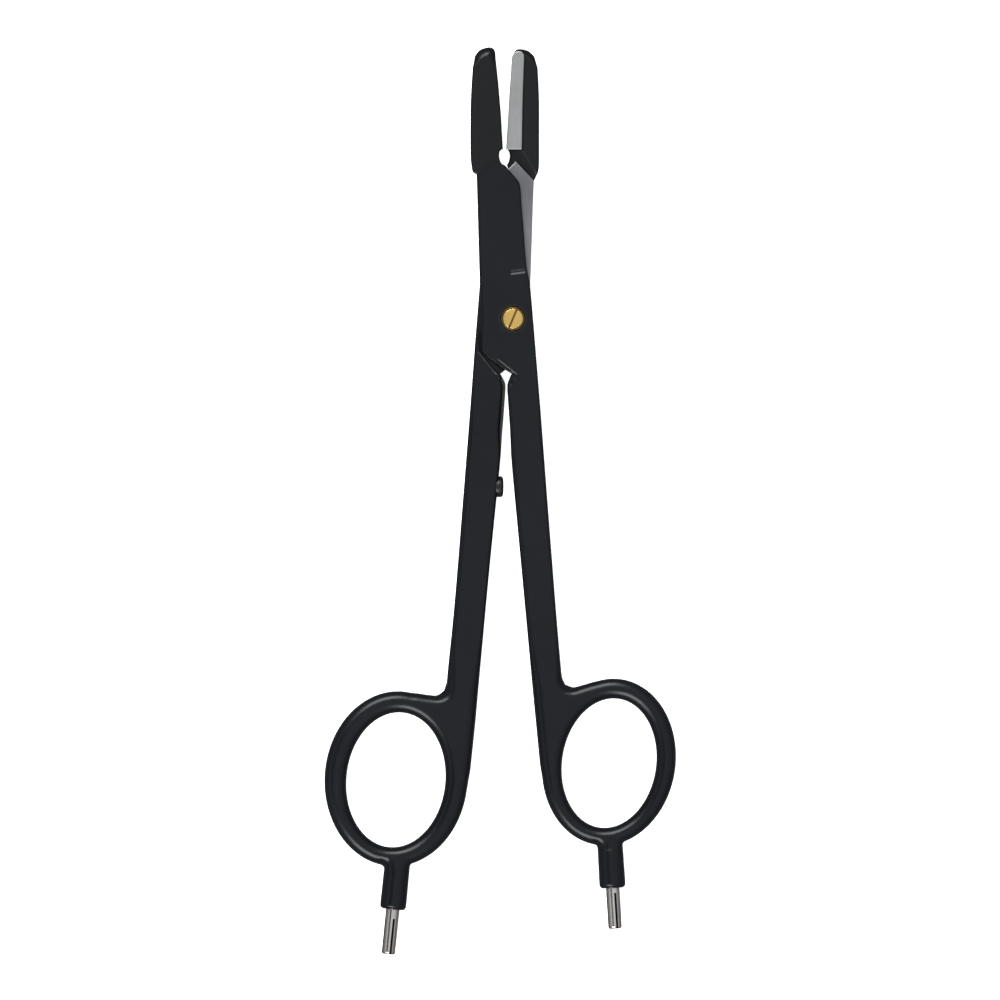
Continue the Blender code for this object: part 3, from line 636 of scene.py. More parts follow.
class Lathe:
    """Geometry Nodes trees that turn a profile about +Z, and that saw slots in what they turned."""

    def __init__(self) -> None:
        """Builds both trees."""
        self.turned = self.turning_tree()
        self.sawn = self.sawing_tree()

    @staticmethod
    def new_tree(name: str, sockets: dict[str, str]) -> tuple[bpy.types.NodeTree, bpy.types.Node]:
        """A geometry tree with named inputs.

        Args:
            name: the tree's name.
            sockets: the inputs' names and socket types.

        Returns:
            The tree and its input node.
        """
        tree = bpy.data.node_groups.new(name, "GeometryNodeTree")
        for label, kind in sockets.items():
            tree.interface.new_socket(label, in_out="INPUT", socket_type=kind)
        tree.interface.new_socket("Geometry", in_out="OUTPUT", socket_type="NodeSocketGeometry")
        return tree, add_node(tree, "NodeGroupInput")

    @staticmethod
    def end_tree(tree: bpy.types.NodeTree, geometry: bpy.types.NodeSocket, look: bpy.types.NodeSocket,
                 cut_look: bpy.types.NodeSocket | None = None, cut: bpy.types.NodeSocket | None = None) -> None:
        """Ends a tree with real geometry that has its material.

        Args:
            tree: the tree.
            geometry: what it made.
            look: the material.
            cut_look: the material of the faces that a saw left, if any; it is darker, to paint in the shade
                inside the cuts.
            cut: which faces those are.
        """
        real = add_node(tree, "GeometryNodeRealizeInstances", {}, {"Geometry": geometry})
        dressed = add_node(tree, "GeometryNodeSetMaterial", {}, {
            "Geometry": real.outputs[0], "Material": look})
        if cut_look:
            dressed = add_node(tree, "GeometryNodeSetMaterial", {}, {
                "Geometry": dressed.outputs[0], "Selection": cut, "Material": cut_look})
        add_node(tree, "NodeGroupOutput", {}, {0: dressed.outputs[0]})

    def turning_tree(self) -> bpy.types.NodeTree:
        """A grid whose rows follow the profile's points and whose columns go round the axis."""
        tree, given = self.new_tree("turn_profile", {
            "Profile": "NodeSocketGeometry", "Profile Points": "NodeSocketInt", "Sides": "NodeSocketInt",
            "Finish": "NodeSocketMaterial"})

        def maths(operation: str, *values: object) -> bpy.types.NodeSocket:
            """A Math node's result."""
            node = add_node(tree, "ShaderNodeMath", {"operation": operation}, dict(enumerate(values)))
            return node.outputs[0]

        columns = maths("ADD", given.outputs["Sides"], 1.0)
        grid = add_node(tree, "GeometryNodeMeshGrid", {}, {
            "Vertices X": given.outputs["Profile Points"], "Vertices Y": columns})
        index = add_node(tree, "GeometryNodeInputIndex").outputs[0]
        row = maths("FLOOR", maths("DIVIDE", maths("ADD", index, 0.5), columns))
        column = maths("SUBTRACT", index, maths("MULTIPLY", row, columns))
        turn = maths("MULTIPLY", maths("DIVIDE", column, given.outputs["Sides"]), math.tau)
        place = add_node(tree, "GeometryNodeInputPosition").outputs[0]
        sample = add_node(tree, "GeometryNodeSampleIndex", {"data_type": "FLOAT_VECTOR"}, {
            "Geometry": given.outputs["Profile"], "Value": place, "Index": row})
        apart = add_node(tree, "ShaderNodeSeparateXYZ", {}, {0: sample.outputs[0]})
        wanted = add_node(tree, "ShaderNodeCombineXYZ", {}, {
            "X": maths("MULTIPLY", apart.outputs["X"], maths("COSINE", turn)),
            "Y": maths("MULTIPLY", apart.outputs["X"], maths("SINE", turn)),
            "Z": apart.outputs["Z"]})
        moved = add_node(tree, "GeometryNodeSetPosition", {}, {
            "Geometry": grid.outputs["Mesh"], "Position": wanted.outputs[0]})
        merged = add_node(tree, "GeometryNodeMergeByDistance", {}, {
            "Geometry": moved.outputs[0], "Distance": 1e-6})
        facing = add_node(tree, "GeometryNodeFlipFaces", {}, {"Mesh": merged.outputs[0]})
        self.end_tree(tree, facing.outputs[0], given.outputs["Finish"])
        return tree

    def sawing_tree(self) -> bpy.types.NodeTree:
        """A turned piece with saw cuts spread evenly round its axis."""
        tree, given = self.new_tree("turn_and_saw", {
            "Profile": "NodeSocketGeometry", "Profile Points": "NodeSocketInt", "Sides": "NodeSocketInt",
            "Finish": "NodeSocketMaterial", "Cut Finish": "NodeSocketMaterial", "Cuts": "NodeSocketInt",
            "Cut Width": "NodeSocketFloat", "Cut Foot": "NodeSocketFloat", "Cut Turn": "NodeSocketFloat"})
        blank = add_node(tree, "GeometryNodeGroup", {"node_tree": self.turned}, {
            label: given.outputs[label] for label in ("Profile", "Profile Points", "Sides", "Finish")})
        saw_reach = 20.0 * MM
        size = add_node(tree, "ShaderNodeCombineXYZ", {}, {
            "X": saw_reach, "Y": given.outputs["Cut Width"], "Z": saw_reach})
        blade = add_node(tree, "GeometryNodeMeshCube", {}, {"Size": size.outputs[0]})
        middle = add_node(tree, "ShaderNodeMath", {"operation": "ADD"}, {
            0: given.outputs["Cut Foot"], 1: saw_reach / 2}).outputs[0]
        place = add_node(tree, "ShaderNodeCombineXYZ", {}, {"Z": middle})
        points = add_node(tree, "GeometryNodePoints", {}, {
            "Count": given.outputs["Cuts"], "Position": place.outputs[0]})
        index = add_node(tree, "GeometryNodeInputIndex").outputs[0]
        share = add_node(tree, "ShaderNodeMath", {"operation": "DIVIDE"}, {0: index, 1: given.outputs["Cuts"]})
        turn = add_node(tree, "ShaderNodeMath", {"operation": "MULTIPLY_ADD"}, {
            0: share.outputs[0], 1: math.pi, 2: given.outputs["Cut Turn"]})
        lean = add_node(tree, "ShaderNodeCombineXYZ", {}, {"Z": turn.outputs[0]})
        blades = add_node(tree, "GeometryNodeInstanceOnPoints", {}, {
            "Points": points.outputs[0], "Instance": blade.outputs[0], "Rotation": lean.outputs[0]})
        real = add_node(tree, "GeometryNodeRealizeInstances", {}, {"Geometry": blades.outputs[0]})
        marked = add_node(tree, "GeometryNodeStoreNamedAttribute", {"data_type": "BOOLEAN", "domain": "FACE"}, {
            "Geometry": real.outputs[0], "Name": "sawn", "Value": True})
        cut = add_node(tree, "GeometryNodeMeshBoolean", {"operation": "DIFFERENCE", "solver": "EXACT"}, {
            "Mesh 1": blank.outputs[0], "Mesh 2": marked.outputs[0], "Self Intersection": True})
        sawn = add_node(tree, "GeometryNodeInputNamedAttribute", {"data_type": "BOOLEAN"}, {"Name": "sawn"})
        self.end_tree(tree, cut.outputs[0], given.outputs["Finish"], given.outputs["Cut Finish"],
                      sawn.outputs[0])
        return tree

    def make(self, name: str, profile: Sequence[Point], look: bpy.types.Material, sides: int = 96,
             saw: dict[str, object] | None = None, place: Matrix | None = None) -> bpy.types.Object:
        """Turns one piece.

        Args:
            name: the piece's name.
            profile: (radius, height) pairs in millimetres; a ring's profile ends where it starts.
            look: its material.
            sides: facets round the axis.
            saw: the sawing tree's own inputs by name, or None for a plain turned piece.
            place: the matrix that lays the axis where it belongs, in millimetres.

        Returns:
            The piece as a plain mesh at the origin.
        """
        line = np.array([(radius, 0.0, height) for radius, height in profile])
        made = piece_from(name, line, [])
        tree = self.sawn if saw else self.turned
        step = made.modifiers.new(name, "NODES")
        step.node_group = tree
        values = {"Profile Points": len(profile), "Sides": sides, "Finish": look, **(saw or {})}
        for item in tree.interface.items_tree:
            if item.name in values:
                step[item.identifier] = values[item.name]
        made.data.update()
        graph = bpy.context.evaluated_depsgraph_get()
        graph.update()
        mesh = bpy.data.meshes.new_from_object(made.evaluated_get(graph))
        made.modifiers.clear()
        made.data = mesh
        if place is not None:
            moved = place.copy()
            moved.translation = place.translation * MM
            mesh.transform(moved)
        return outward(made)


def outward(made: bpy.types.Object) -> bpy.types.Object:
    """The piece with its faces turned outwards, judged by the volume that they enclose."""
    mesh = made.data
    mesh.calc_loop_triangles()
    points = np.empty(len(mesh.vertices) * 3)
    mesh.vertices.foreach_get("co", points)
    corners = np.empty(len(mesh.loop_triangles) * 3, int)
    mesh.loop_triangles.foreach_get("vertices", corners)
    if np.linalg.det(points.reshape(-1, 3)[corners.reshape(-1, 3)]).sum() < 0:
        mesh.flip_normals()
    return made


def rounded_profile(corners: Sequence[tuple[float, float, float]], ring: bool = False) -> list[Point]:
    """A turned profile with rounded corners.

    Args:
        corners: (radius, height, rounding) of each corner, from the foot's centre outwards.
        ring: whether the profile closes on itself instead of on the axis.

    Returns:
        (radius, height) pairs.
    """
    points = []
    count = len(corners)
    for here, (radius, height, rounding) in enumerate(corners):
        if rounding <= 0.0:
            points.append((radius, height))
            continue
        before, after = corners[here - 1], corners[(here + 1) % count]
        points += round_corner(before[:2], (radius, height), after[:2], rounding, 5)
    return [*points, points[0]] if ring else points


# ------------------------------------------------------------------------------ pieces and riding

@dataclass
class Workshop:
    """What every assembly shares: the lathe and the finished materials, each made once."""

    lathe: Lathe = field(default_factory=Lathe)
    looks: dict[str, bpy.types.Material] = field(default_factory=dict)

    def look(self, finish: Finish) -> bpy.types.Material:
        """The material of a finish."""
        if finish.name not in self.looks:
            self.looks[finish.name] = finish.build()
        return self.looks[finish.name]

    def dress(self, made: bpy.types.Object, finish: Finish, slot: Slot, body: Body, *nodes: str,
              crease: float = 32.0) -> bpy.types.Object:
        """Gives a piece its finish and its body, and hides the CAD nodes that it stands for.

        Args:
            made: the piece.
            finish: its finish.
            slot: its material slot in the record; not used.
            body: the body that it moves with.
            nodes: the CAD nodes that it replaces.
            crease: the angle in degrees past which an edge stays sharp.

        Returns:
            The piece.
        """
        if not made.data.materials:
            made.data.materials.append(self.look(finish))
        made.data.shade_smooth()
        made.data.set_sharp_from_angle(angle=math.radians(crease))
        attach(made, body.value)
        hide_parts(*nodes)
        LOG.info("%s rides on %s, %d faces", made.name, body.value, len(made.data.polygons))
        return made

    def keep(self, node: str, finish: Finish, slot: Slot) -> bpy.types.Object:
        """Gives a CAD node that stays in view a better material."""
        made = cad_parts[node]
        made.data.materials.clear()
        made.data.materials.append(self.look(finish))
        LOG.info("%s keeps its CAD shape", node)
        return made


# ------------------------------------------------------------------------------ plug stems

@dataclass(frozen=True)
class Stem:
    """A round plug stem below a finger ring, with its split contact.

    lean turns the axis from straight down; length reaches the stem's end and tip the contact's.
    """

    root: Point
    lean: float
    length: float
    tip: float
    radii: tuple[float, float] = (2.80, 2.90)
    edge: float = 0.9
    fillet: float = 0.85
    sunk: float = 2.0

    @property
    def axis(self) -> Vector:
        """Unit vector away from the ring."""
        return Vector((math.sin(math.radians(self.lean)), -math.cos(math.radians(self.lean))))

    @property
    def across(self) -> Vector:
        """Unit vector to the stem's right."""
        return Vector((math.cos(math.radians(self.lean)), math.sin(math.radians(self.lean))))

    def radius(self, along: float) -> float:
        """The stem's radius at a distance along it, before its rounded end."""
        share = (along + self.sunk) / (self.length - self.edge + self.sunk)
        return self.radii[0] + (self.radii[1] - self.radii[0]) * share

    def place(self, along: float, across: float) -> Point:
        """A plan point given along and across the stem."""
        return tuple(Vector(self.root) + self.axis * along + self.across * across)

    def matrix(self) -> Matrix:
        """Lays local +Z along the stem, in millimetres."""
        down = Matrix.Rotation(math.radians(90.0), 4, "X")
        turned = Matrix.Rotation(math.radians(self.lean), 4, "Z")
        return Matrix.Translation((*self.root, MIDDLE)) @ turned @ down

    def fillet_turn(self, ring: Oval, side: int) -> float:
        """The ring's turn at which a fillet touches both the ring and the stem's side.

        Args:
            ring: the ring's outer oval.
            side: 1 for the stem's right side, -1 for its left.

        Returns:
            The turn in degrees.
        """
        near, far = 180.0, 180.0 - side * 50.0
        for _ in range(50):
            turn = (near + far) / 2
            away = ring.place(turn) + ring.outward(turn) * self.fillet - Vector(self.root)
            gap = side * away.dot(self.across) - self.radius(away.dot(self.axis)) - self.fillet
            near, far = (near, turn) if gap > 0 else (turn, far)
        return (near + far) / 2

    def fillet_arc(self, ring: Oval, side: int, steps: int = 8) -> list[Point]:
        """Points of the fillet on one side, from the ring to the stem."""
        turn = self.fillet_turn(ring, side)
        centre = ring.place(turn) + ring.outward(turn) * self.fillet
        start = ring.place(turn) - centre
        end = -self.across * side * self.fillet
        sweep = start.angle_signed(end)
        points = []
        for step in range(steps + 1):
            angle = -sweep * step / steps
            spoke = Vector((start.x * math.cos(angle) - start.y * math.sin(angle),
                            start.x * math.sin(angle) + start.y * math.cos(angle)))
            points.append(tuple(centre + spoke))
        return points

    def outline(self, ring: Oval, start: float, end: float) -> list[Point]:
        """The ring's outer line from one turn to another, with the stem on its way.

        Args:
            ring: the ring's outer oval.
            start: the first turn; the line passes the ring's foot at 180 or -180.
            end: the last turn.

        Returns:
            The line's points.
        """
        clockwise = end > start
        first, last = (1, -1) if clockwise else (-1, 1)
        wrap = 0.0 if clockwise else -360.0
        corner = self.length
        foot = [self.place(corner, first * self.radii[1]), self.place(corner, last * self.radii[1])]
        return [
            *ring.arc(start, self.fillet_turn(ring, first) + wrap, 160),
            *self.fillet_arc(ring, first)[1:],
            *round_corner(self.place(0.0, first * self.radii[1]), foot[0], foot[1], self.edge),
            *round_corner(foot[0], foot[1], self.place(0.0, last * self.radii[1]), self.edge),
            *self.fillet_arc(ring, last)[::-1][:-1],
            *ring.arc(self.fillet_turn(ring, last) + wrap, end, 160),
        ]

    def half_height(self, points: np.ndarray) -> np.ndarray:
        """Half the stem's thickness over plan points; it sinks away under the ring's crest."""
        away = points - np.array(self.root)
        along, across = away @ np.array(self.axis), away @ np.array(self.across)
        bend = np.clip((along - self.length + self.edge) / self.edge, 0.0, 1.0)
        radius = self.radius(np.minimum(along, self.length - self.edge))
        radius = radius - self.edge * (1 - np.sqrt(1 - bend**2))
        sink = 0.25 * np.maximum(0.0, -0.8 - along) ** 1.5
        return np.sqrt(np.maximum(radius**2 - across**2, 0.0)) - sink


# ------------------------------------------------------------------------------ the two halves

@dataclass
class Handle:
    """The insulated part of one half: lap, shank, finger ring and plug stem."""

    ring: Oval
    hole: Oval
    stem: Stem
    joint_edge: float = 0.6
    shank_edge: float = 1.0
    ring_edge: float = 2.25
    hole_edge: float = 2.2
    roots: tuple[Point, ...] = ()
    root_reach: float = 3.2
    root_swell: float = 0.9
    crisp: tuple[Point, ...] = ()
    crisp_edge: float = 0.14

    def edge_width(self, points: np.ndarray) -> np.ndarray:
        """How wide the outer edge's rounding is: small at the joint, half the band at the ring."""
        down = -points[:, 1]
        shank = self.joint_edge + (self.shank_edge - self.joint_edge) * ramp(down, 12.0, 25.0)
        width = shank + (self.ring_edge - self.shank_edge) * ramp(down, 68.0, 84.0)
        for root in self.roots:
            width = width + self.root_swell * swell(np.hypot(*(points - root).T), 0.0, self.root_reach)
        if self.crisp:
            away = distance_to(points, [np.array(self.crisp)])
            width = self.crisp_edge + (width - self.crisp_edge) * ramp(away, 0.5, 1.8)
        return width

    def finger_hole(self) -> Hole:
        """The ring's hole."""
        return Hole(resampled_loop(ccw(self.hole.loop()), 0.36), self.hole_edge)

    def half_height(self, plan: Plan, points: np.ndarray) -> np.ndarray:
        """Half the handle's thickness over plan points, the same to the front and to the back."""
        width = self.edge_width(points)
        outer = quarter_round(plan.edge_distance(points), width)
        inner = quarter_round(distance_to(points, [closed(self.hole.loop())]), self.hole_edge)
        body = HALF - width * (1 - outer * inner)
        return soft_max(body, self.stem.half_height(points), 0.12)


def lap_edge(points: np.ndarray, plan: Plan, rounding: float) -> np.ndarray:
    """How far a lap's face drops at the piece's rounded outline."""
    return rounding * (1 - quarter_round(plan.edge_distance(points), rounding))


def ccw(loop: Sequence[Point] | np.ndarray) -> np.ndarray:
    """The loop, anticlockwise."""
    made = np.array(loop, float)
    return made if signed_area(made) > 0 else made[::-1]


def circle(radius: float, sides: int = 96) -> np.ndarray:
    """A circle round the pivot."""
    turns = np.arange(sides) * math.tau / sides
    return np.column_stack([np.cos(turns), np.sin(turns)]) * radius


@dataclass
class LowerHalf:
    """The half that stays still: blade on the right, finger ring on the left, lap at the back."""

    shop: Workshop
    handle: Handle = field(default_factory=lambda: Handle(
        Oval((-25.81, -101.60), 19.35, 15.81, 3.8), Oval((-25.86, -101.84), 14.90, 10.90, 6.0),
        Stem((-25.69, -122.0), -5.78, 8.5, 18.45), roots=((-15.2, -82.4), (-28.3, -121.3))))
    coat_end: float = 7.6
    nut_hole: float = 2.63
    shoulder_round: float = 0.12
    bead_height: float = 0.13
    bead_width: float = 0.30
    relief_slope: float = 0.18
    lap: tuple[Point, ...] = (
        (-7.45, -7.0), (-4.1, -11.2), (-2.75, -12.6), (9.0, -12.6), (9.0, 42.0), (-15.0, 42.0),
        (-15.0, -2.9), (-7.45, -2.9))
    wedge_top: float = 4.75
    wedge_line: tuple[Point, ...] = (
        (-7.6, -6.9), (-6.30, -8.20), (-2.55, -11.42), (-1.2, -12.9), (9.6, -12.9), (9.6, 42.6),
        (-15.6, 42.6), (-15.6, -6.9))
    neck_lip: tuple[float, float] = (0.46, 0.36)
    neck_slope: float = 0.22
    neck_reach: float = 2.1
    seam: tuple[Point, ...] = ((4.62, 30.45), (0.60, 34.70), (-1.00, 33.05))

    def coat_plan(self) -> Plan:
        """The coat's plan, from the ricasso down to the stem's end."""
        top = self.coat_end
        outline = [
            (-7.34, top), (-8.42, -5.7),
            *smooth((-9.33, -18.1), (-10.72, -35.8), (-12.87, -62.3), (-14.20, -75.6), (-14.62, -80.2)),
            *smooth((-15.19, -82.1), (-16.75, -83.15), (-18.84, -83.05), (-21.0, -82.72)),
            *self.handle.stem.outline(self.handle.ring, 8.0, -265.0),
            *smooth((-9.38, -99.6), (-8.31, -89.3), (-7.47, -80.0), (-5.22, -55.7), (-3.01, -33.6),
                    (-1.97, -22.5)),
            *smooth((-1.60, -16.9), (-1.62, -14.3), (-2.81, -12.2)),
            (-1.68, -11.34), (2.24, -8.36), (3.45, -7.0), (3.45, -3.05), (3.85, top),
        ]
        return Plan(
            [Run(outline), Run([(3.85, top), (-7.34, top)], seam=True)],
            self.handle.edge_width, [self.handle.finger_hole(), Hole(circle(self.nut_hole))],
            steps=[ccw(self.lap), ccw(self.wedge_line)], step_width=0.55)

    def coat(self) -> bpy.types.Object:
        """Insulating coat with its thinned lap and the shoulder that frames the upper half.

        The wedge between the shoulder and the upper half's edge stays thicker than the lap. The dip
        draws back from the shoulder's edge and leaves a low bead beside it.
        """
        plan = self.coat_plan()
        lap, wedge = ccw(self.lap), ccw(self.wedge_line)

        def top(points: np.ndarray) -> np.ndarray:
            """Front face: the full body outside the shoulder, then the wedge and the lap."""
            body = MIDDLE + self.handle.half_height(plan, points)
            depth = signed_distance(points, lap)
            fall = self.shoulder_round * (1 - quarter_round(-depth, self.shoulder_round))
            bead = self.bead_height * swell(-depth, self.bead_width, self.bead_width)
            level = np.where(signed_distance(points, wedge) > 0, LOWER_LAP_TOP, self.wedge_top)
            flat = level - lap_edge(points, plan, 0.12)
            return np.where(depth > 0, np.minimum(body, flat), body - fall + bead)

        def bottom(points: np.ndarray) -> np.ndarray:
            """Back face."""
            return MIDDLE - self.handle.half_height(plan, points)

        made = slab("lower_dipped_coat", plan, top, bottom)
        slope_flank(made, plan, self.relief_slope, 1)
        return self.shop.dress(made, DIPPED_POLYAMIDE, Slot.COAT, Body.LOWER, "lower_handle_coat")

    def blade_steel(self) -> bpy.types.Object:
        """Bare ground ricasso: its two slanted ends stand proud of the cover, with bright bevels."""
        low_end = 4.0
        plan = Plan(
            [Run([
                *self.seam, (-1.74, 33.76),
                *smooth((-2.63, 32.77), (-3.84, 31.44), (-4.62, 30.1), (-4.99, 28.35)),
                *smooth((-5.5, 21.7), (-6.38, 12.9), (-7.10, 7.65)),
                (-5.9, 7.5), (-5.9, low_end), (2.6, low_end), (2.6, 7.5), (3.83, 7.65),
                *smooth((4.02, 12.9), (4.22, 19.1), (4.44, 26.1)), self.seam[0]])],
            lambda points: np.full(len(points), 0.22))

        def top(points: np.ndarray) -> np.ndarray:
            """Mating face with a small bevel, sunk where the coat covers it."""
            edge = np.minimum(plan.edge_distance(points) / 0.22, 1.0)
            return LOWER_LAP_TOP - 0.06 * (1 - edge) - 0.9 * (points[:, 1] < 7.6)

        def bottom(points: np.ndarray) -> np.ndarray:
            """Back face."""
            rounding = 0.4 * (1 - quarter_round(plan.edge_distance(points), 0.4))
            return LOW + rounding + 0.9 * (points[:, 1] < 7.6)

        made = slab("lower_ricasso", plan, top, bottom)
        return self.shop.dress(made, GROUND_STAINLESS, Slot.STEEL, Body.LOWER, "lower_limb")

    def strip_line(self) -> list[Point]:
        """The cutting strip's outline, from its heel up its edge and round its tip."""
        return [
            (1.90, 37.35), *smooth((1.95, 39.4), (2.10, 48.2), (2.42, 57.1)),
            *smooth((2.42, 58.2), (2.02, 58.85), (1.25, 59.05), (0.42, 58.85), (-0.12, 58.1), (-0.29, 57.1)),
            (-0.65, 51.8), (-1.07, 44.7), (-1.49, 37.35), (1.90, 37.35)]

    def cutting_strip(self) -> bpy.types.Object:
        """Ground strip whose narrow bevels catch the light round a flat face."""
        plan = Plan([Run(self.strip_line())], lambda points: np.full(len(points), 0.30))

        def top(points: np.ndarray) -> np.ndarray:
            """Face with a shallow bevel."""
            return LOWER_LAP_TOP - 0.05 * (1 - np.minimum(plan.edge_distance(points) / 0.26, 1.0))

        made = slab("lower_edge_strip", plan, top, lambda points: np.full(len(points), LOWER_LAP_TOP - 0.86))
        return self.shop.dress(made, LAPPED_STAINLESS, Slot.STRIP, Body.LOWER, "lower_cutting_strip",
                               crease=12.0)

    def blade_cover(self) -> bpy.types.Object:
        """Moulded cover with the strip's pocket, a rounded tip and a neck that slopes down to the ricasso."""
        pocket = ccw(inset(ccw(resampled(self.strip_line(), 0.5)[:-1]), -0.36))
        outline = [
            (4.64, 30.40), *smooth((5.53, 32.3), (5.77, 34.1), (5.77, 40.0), (5.77, 48.2), (5.46, 55.3)),
            *smooth((4.72, 57.9), (3.35, 59.12), (1.66, 59.52), (0.60, 59.25), (0.0, 58.3), (-0.14, 57.1)),
            (-0.50, 51.8), (-0.92, 44.7), (-1.34, 37.6),
            *smooth((-0.82, 36.75), (-0.66, 35.86), (-0.88, 34.76), (-1.30, 33.95)), (-1.08, 33.00)]
        crease_start, crease_end = np.array((2.30, 37.30)), np.array((5.25, 32.25))
        along = (crease_end - crease_start) / np.hypot(*(crease_end - crease_start))
        aside = np.array((along[1], -along[0]))

        def width(points: np.ndarray) -> np.ndarray:
            """The edge's rounding, wider round the tip."""
            return 0.55 + 1.25 * ramp(points[:, 1], 55.5, 58.6)

        plan = Plan([Run(outline), Run([(-1.08, 33.00), (0.60, 34.60), (4.64, 30.40)], seam=True)], width,
                    steps=[pocket], step_width=0.05,
                    guides=[Guide(tuple(crease_start), tuple(crease_end), (
                        0.15, 0.0, -0.12, -0.24, -0.36, -0.5, -0.8, -1.3, -1.9, -2.6))])

        def top(points: np.ndarray) -> np.ndarray:
            """Mating face, pocket and sloping neck."""
            reach = width(points)
            face = LOWER_LAP_TOP - reach * (1 - quarter_round(plan.edge_distance(points), reach))
            below = np.maximum(0.0, (points - crease_start) @ aside)
            lip_slope, lip = self.neck_lip
            neck = lip_slope * np.minimum(below, lip)
            neck += self.neck_slope * np.clip(below - lip, 0.0, self.neck_reach)
            neck *= points[:, 1] < 37.3
            return np.where(signed_distance(points, pocket) > 0, LOWER_LAP_TOP - 0.9, face - neck)

        def bottom(points: np.ndarray) -> np.ndarray:
            """Outer face at the back."""
            return LOW + 0.6 * (1 - quarter_round(plan.edge_distance(points), 0.6))

        made = slab("lower_moulded_cover", plan, top, bottom)
        return self.shop.dress(made, MOULDED_POLYAMIDE, Slot.COVER, Body.LOWER, "lower_blade_cover")


def slope_flank(made: bpy.types.Object, plan: Plan, slope: float, side: int) -> None:
    """Leans a shank's inner flank, so that the two shanks pass each other on closing.

    Args:
        made: the coat.
        plan: its plan.
        slope: sideways shift for each millimetre of height.
        side: 1 for the lower half, whose front edge is drawn in; -1 for the upper half's back edge.
    """
    mesh = made.data
    points = np.empty(len(mesh.vertices) * 3, np.float32)
    mesh.vertices.foreach_get("co", points)
    points = points.reshape(-1, 3) / MM
    x, y, z = points.T
    near = (y < -12.4) & (y > -32.0) & (side * x > side * (-2.0 if side > 0 else -1.0) - 2.6)
    reach = np.zeros(len(points))
    reach[near] = 1 - ramp(plan.edge_distance(points[near, :2].astype(float)), 0.2, 2.2)
    along = ramp(-y, 12.4, 14.0) * (1 - ramp(-y, 23.5, 31.0))
    height = np.clip(z - LOW if side > 0 else HIGH - z, 0.0, 2 * HALF)
    points[:, 0] = x - side * slope * height * reach * along
    mesh.vertices.foreach_set("co", (points * MM).astype(np.float32).ravel())
    mesh.update()


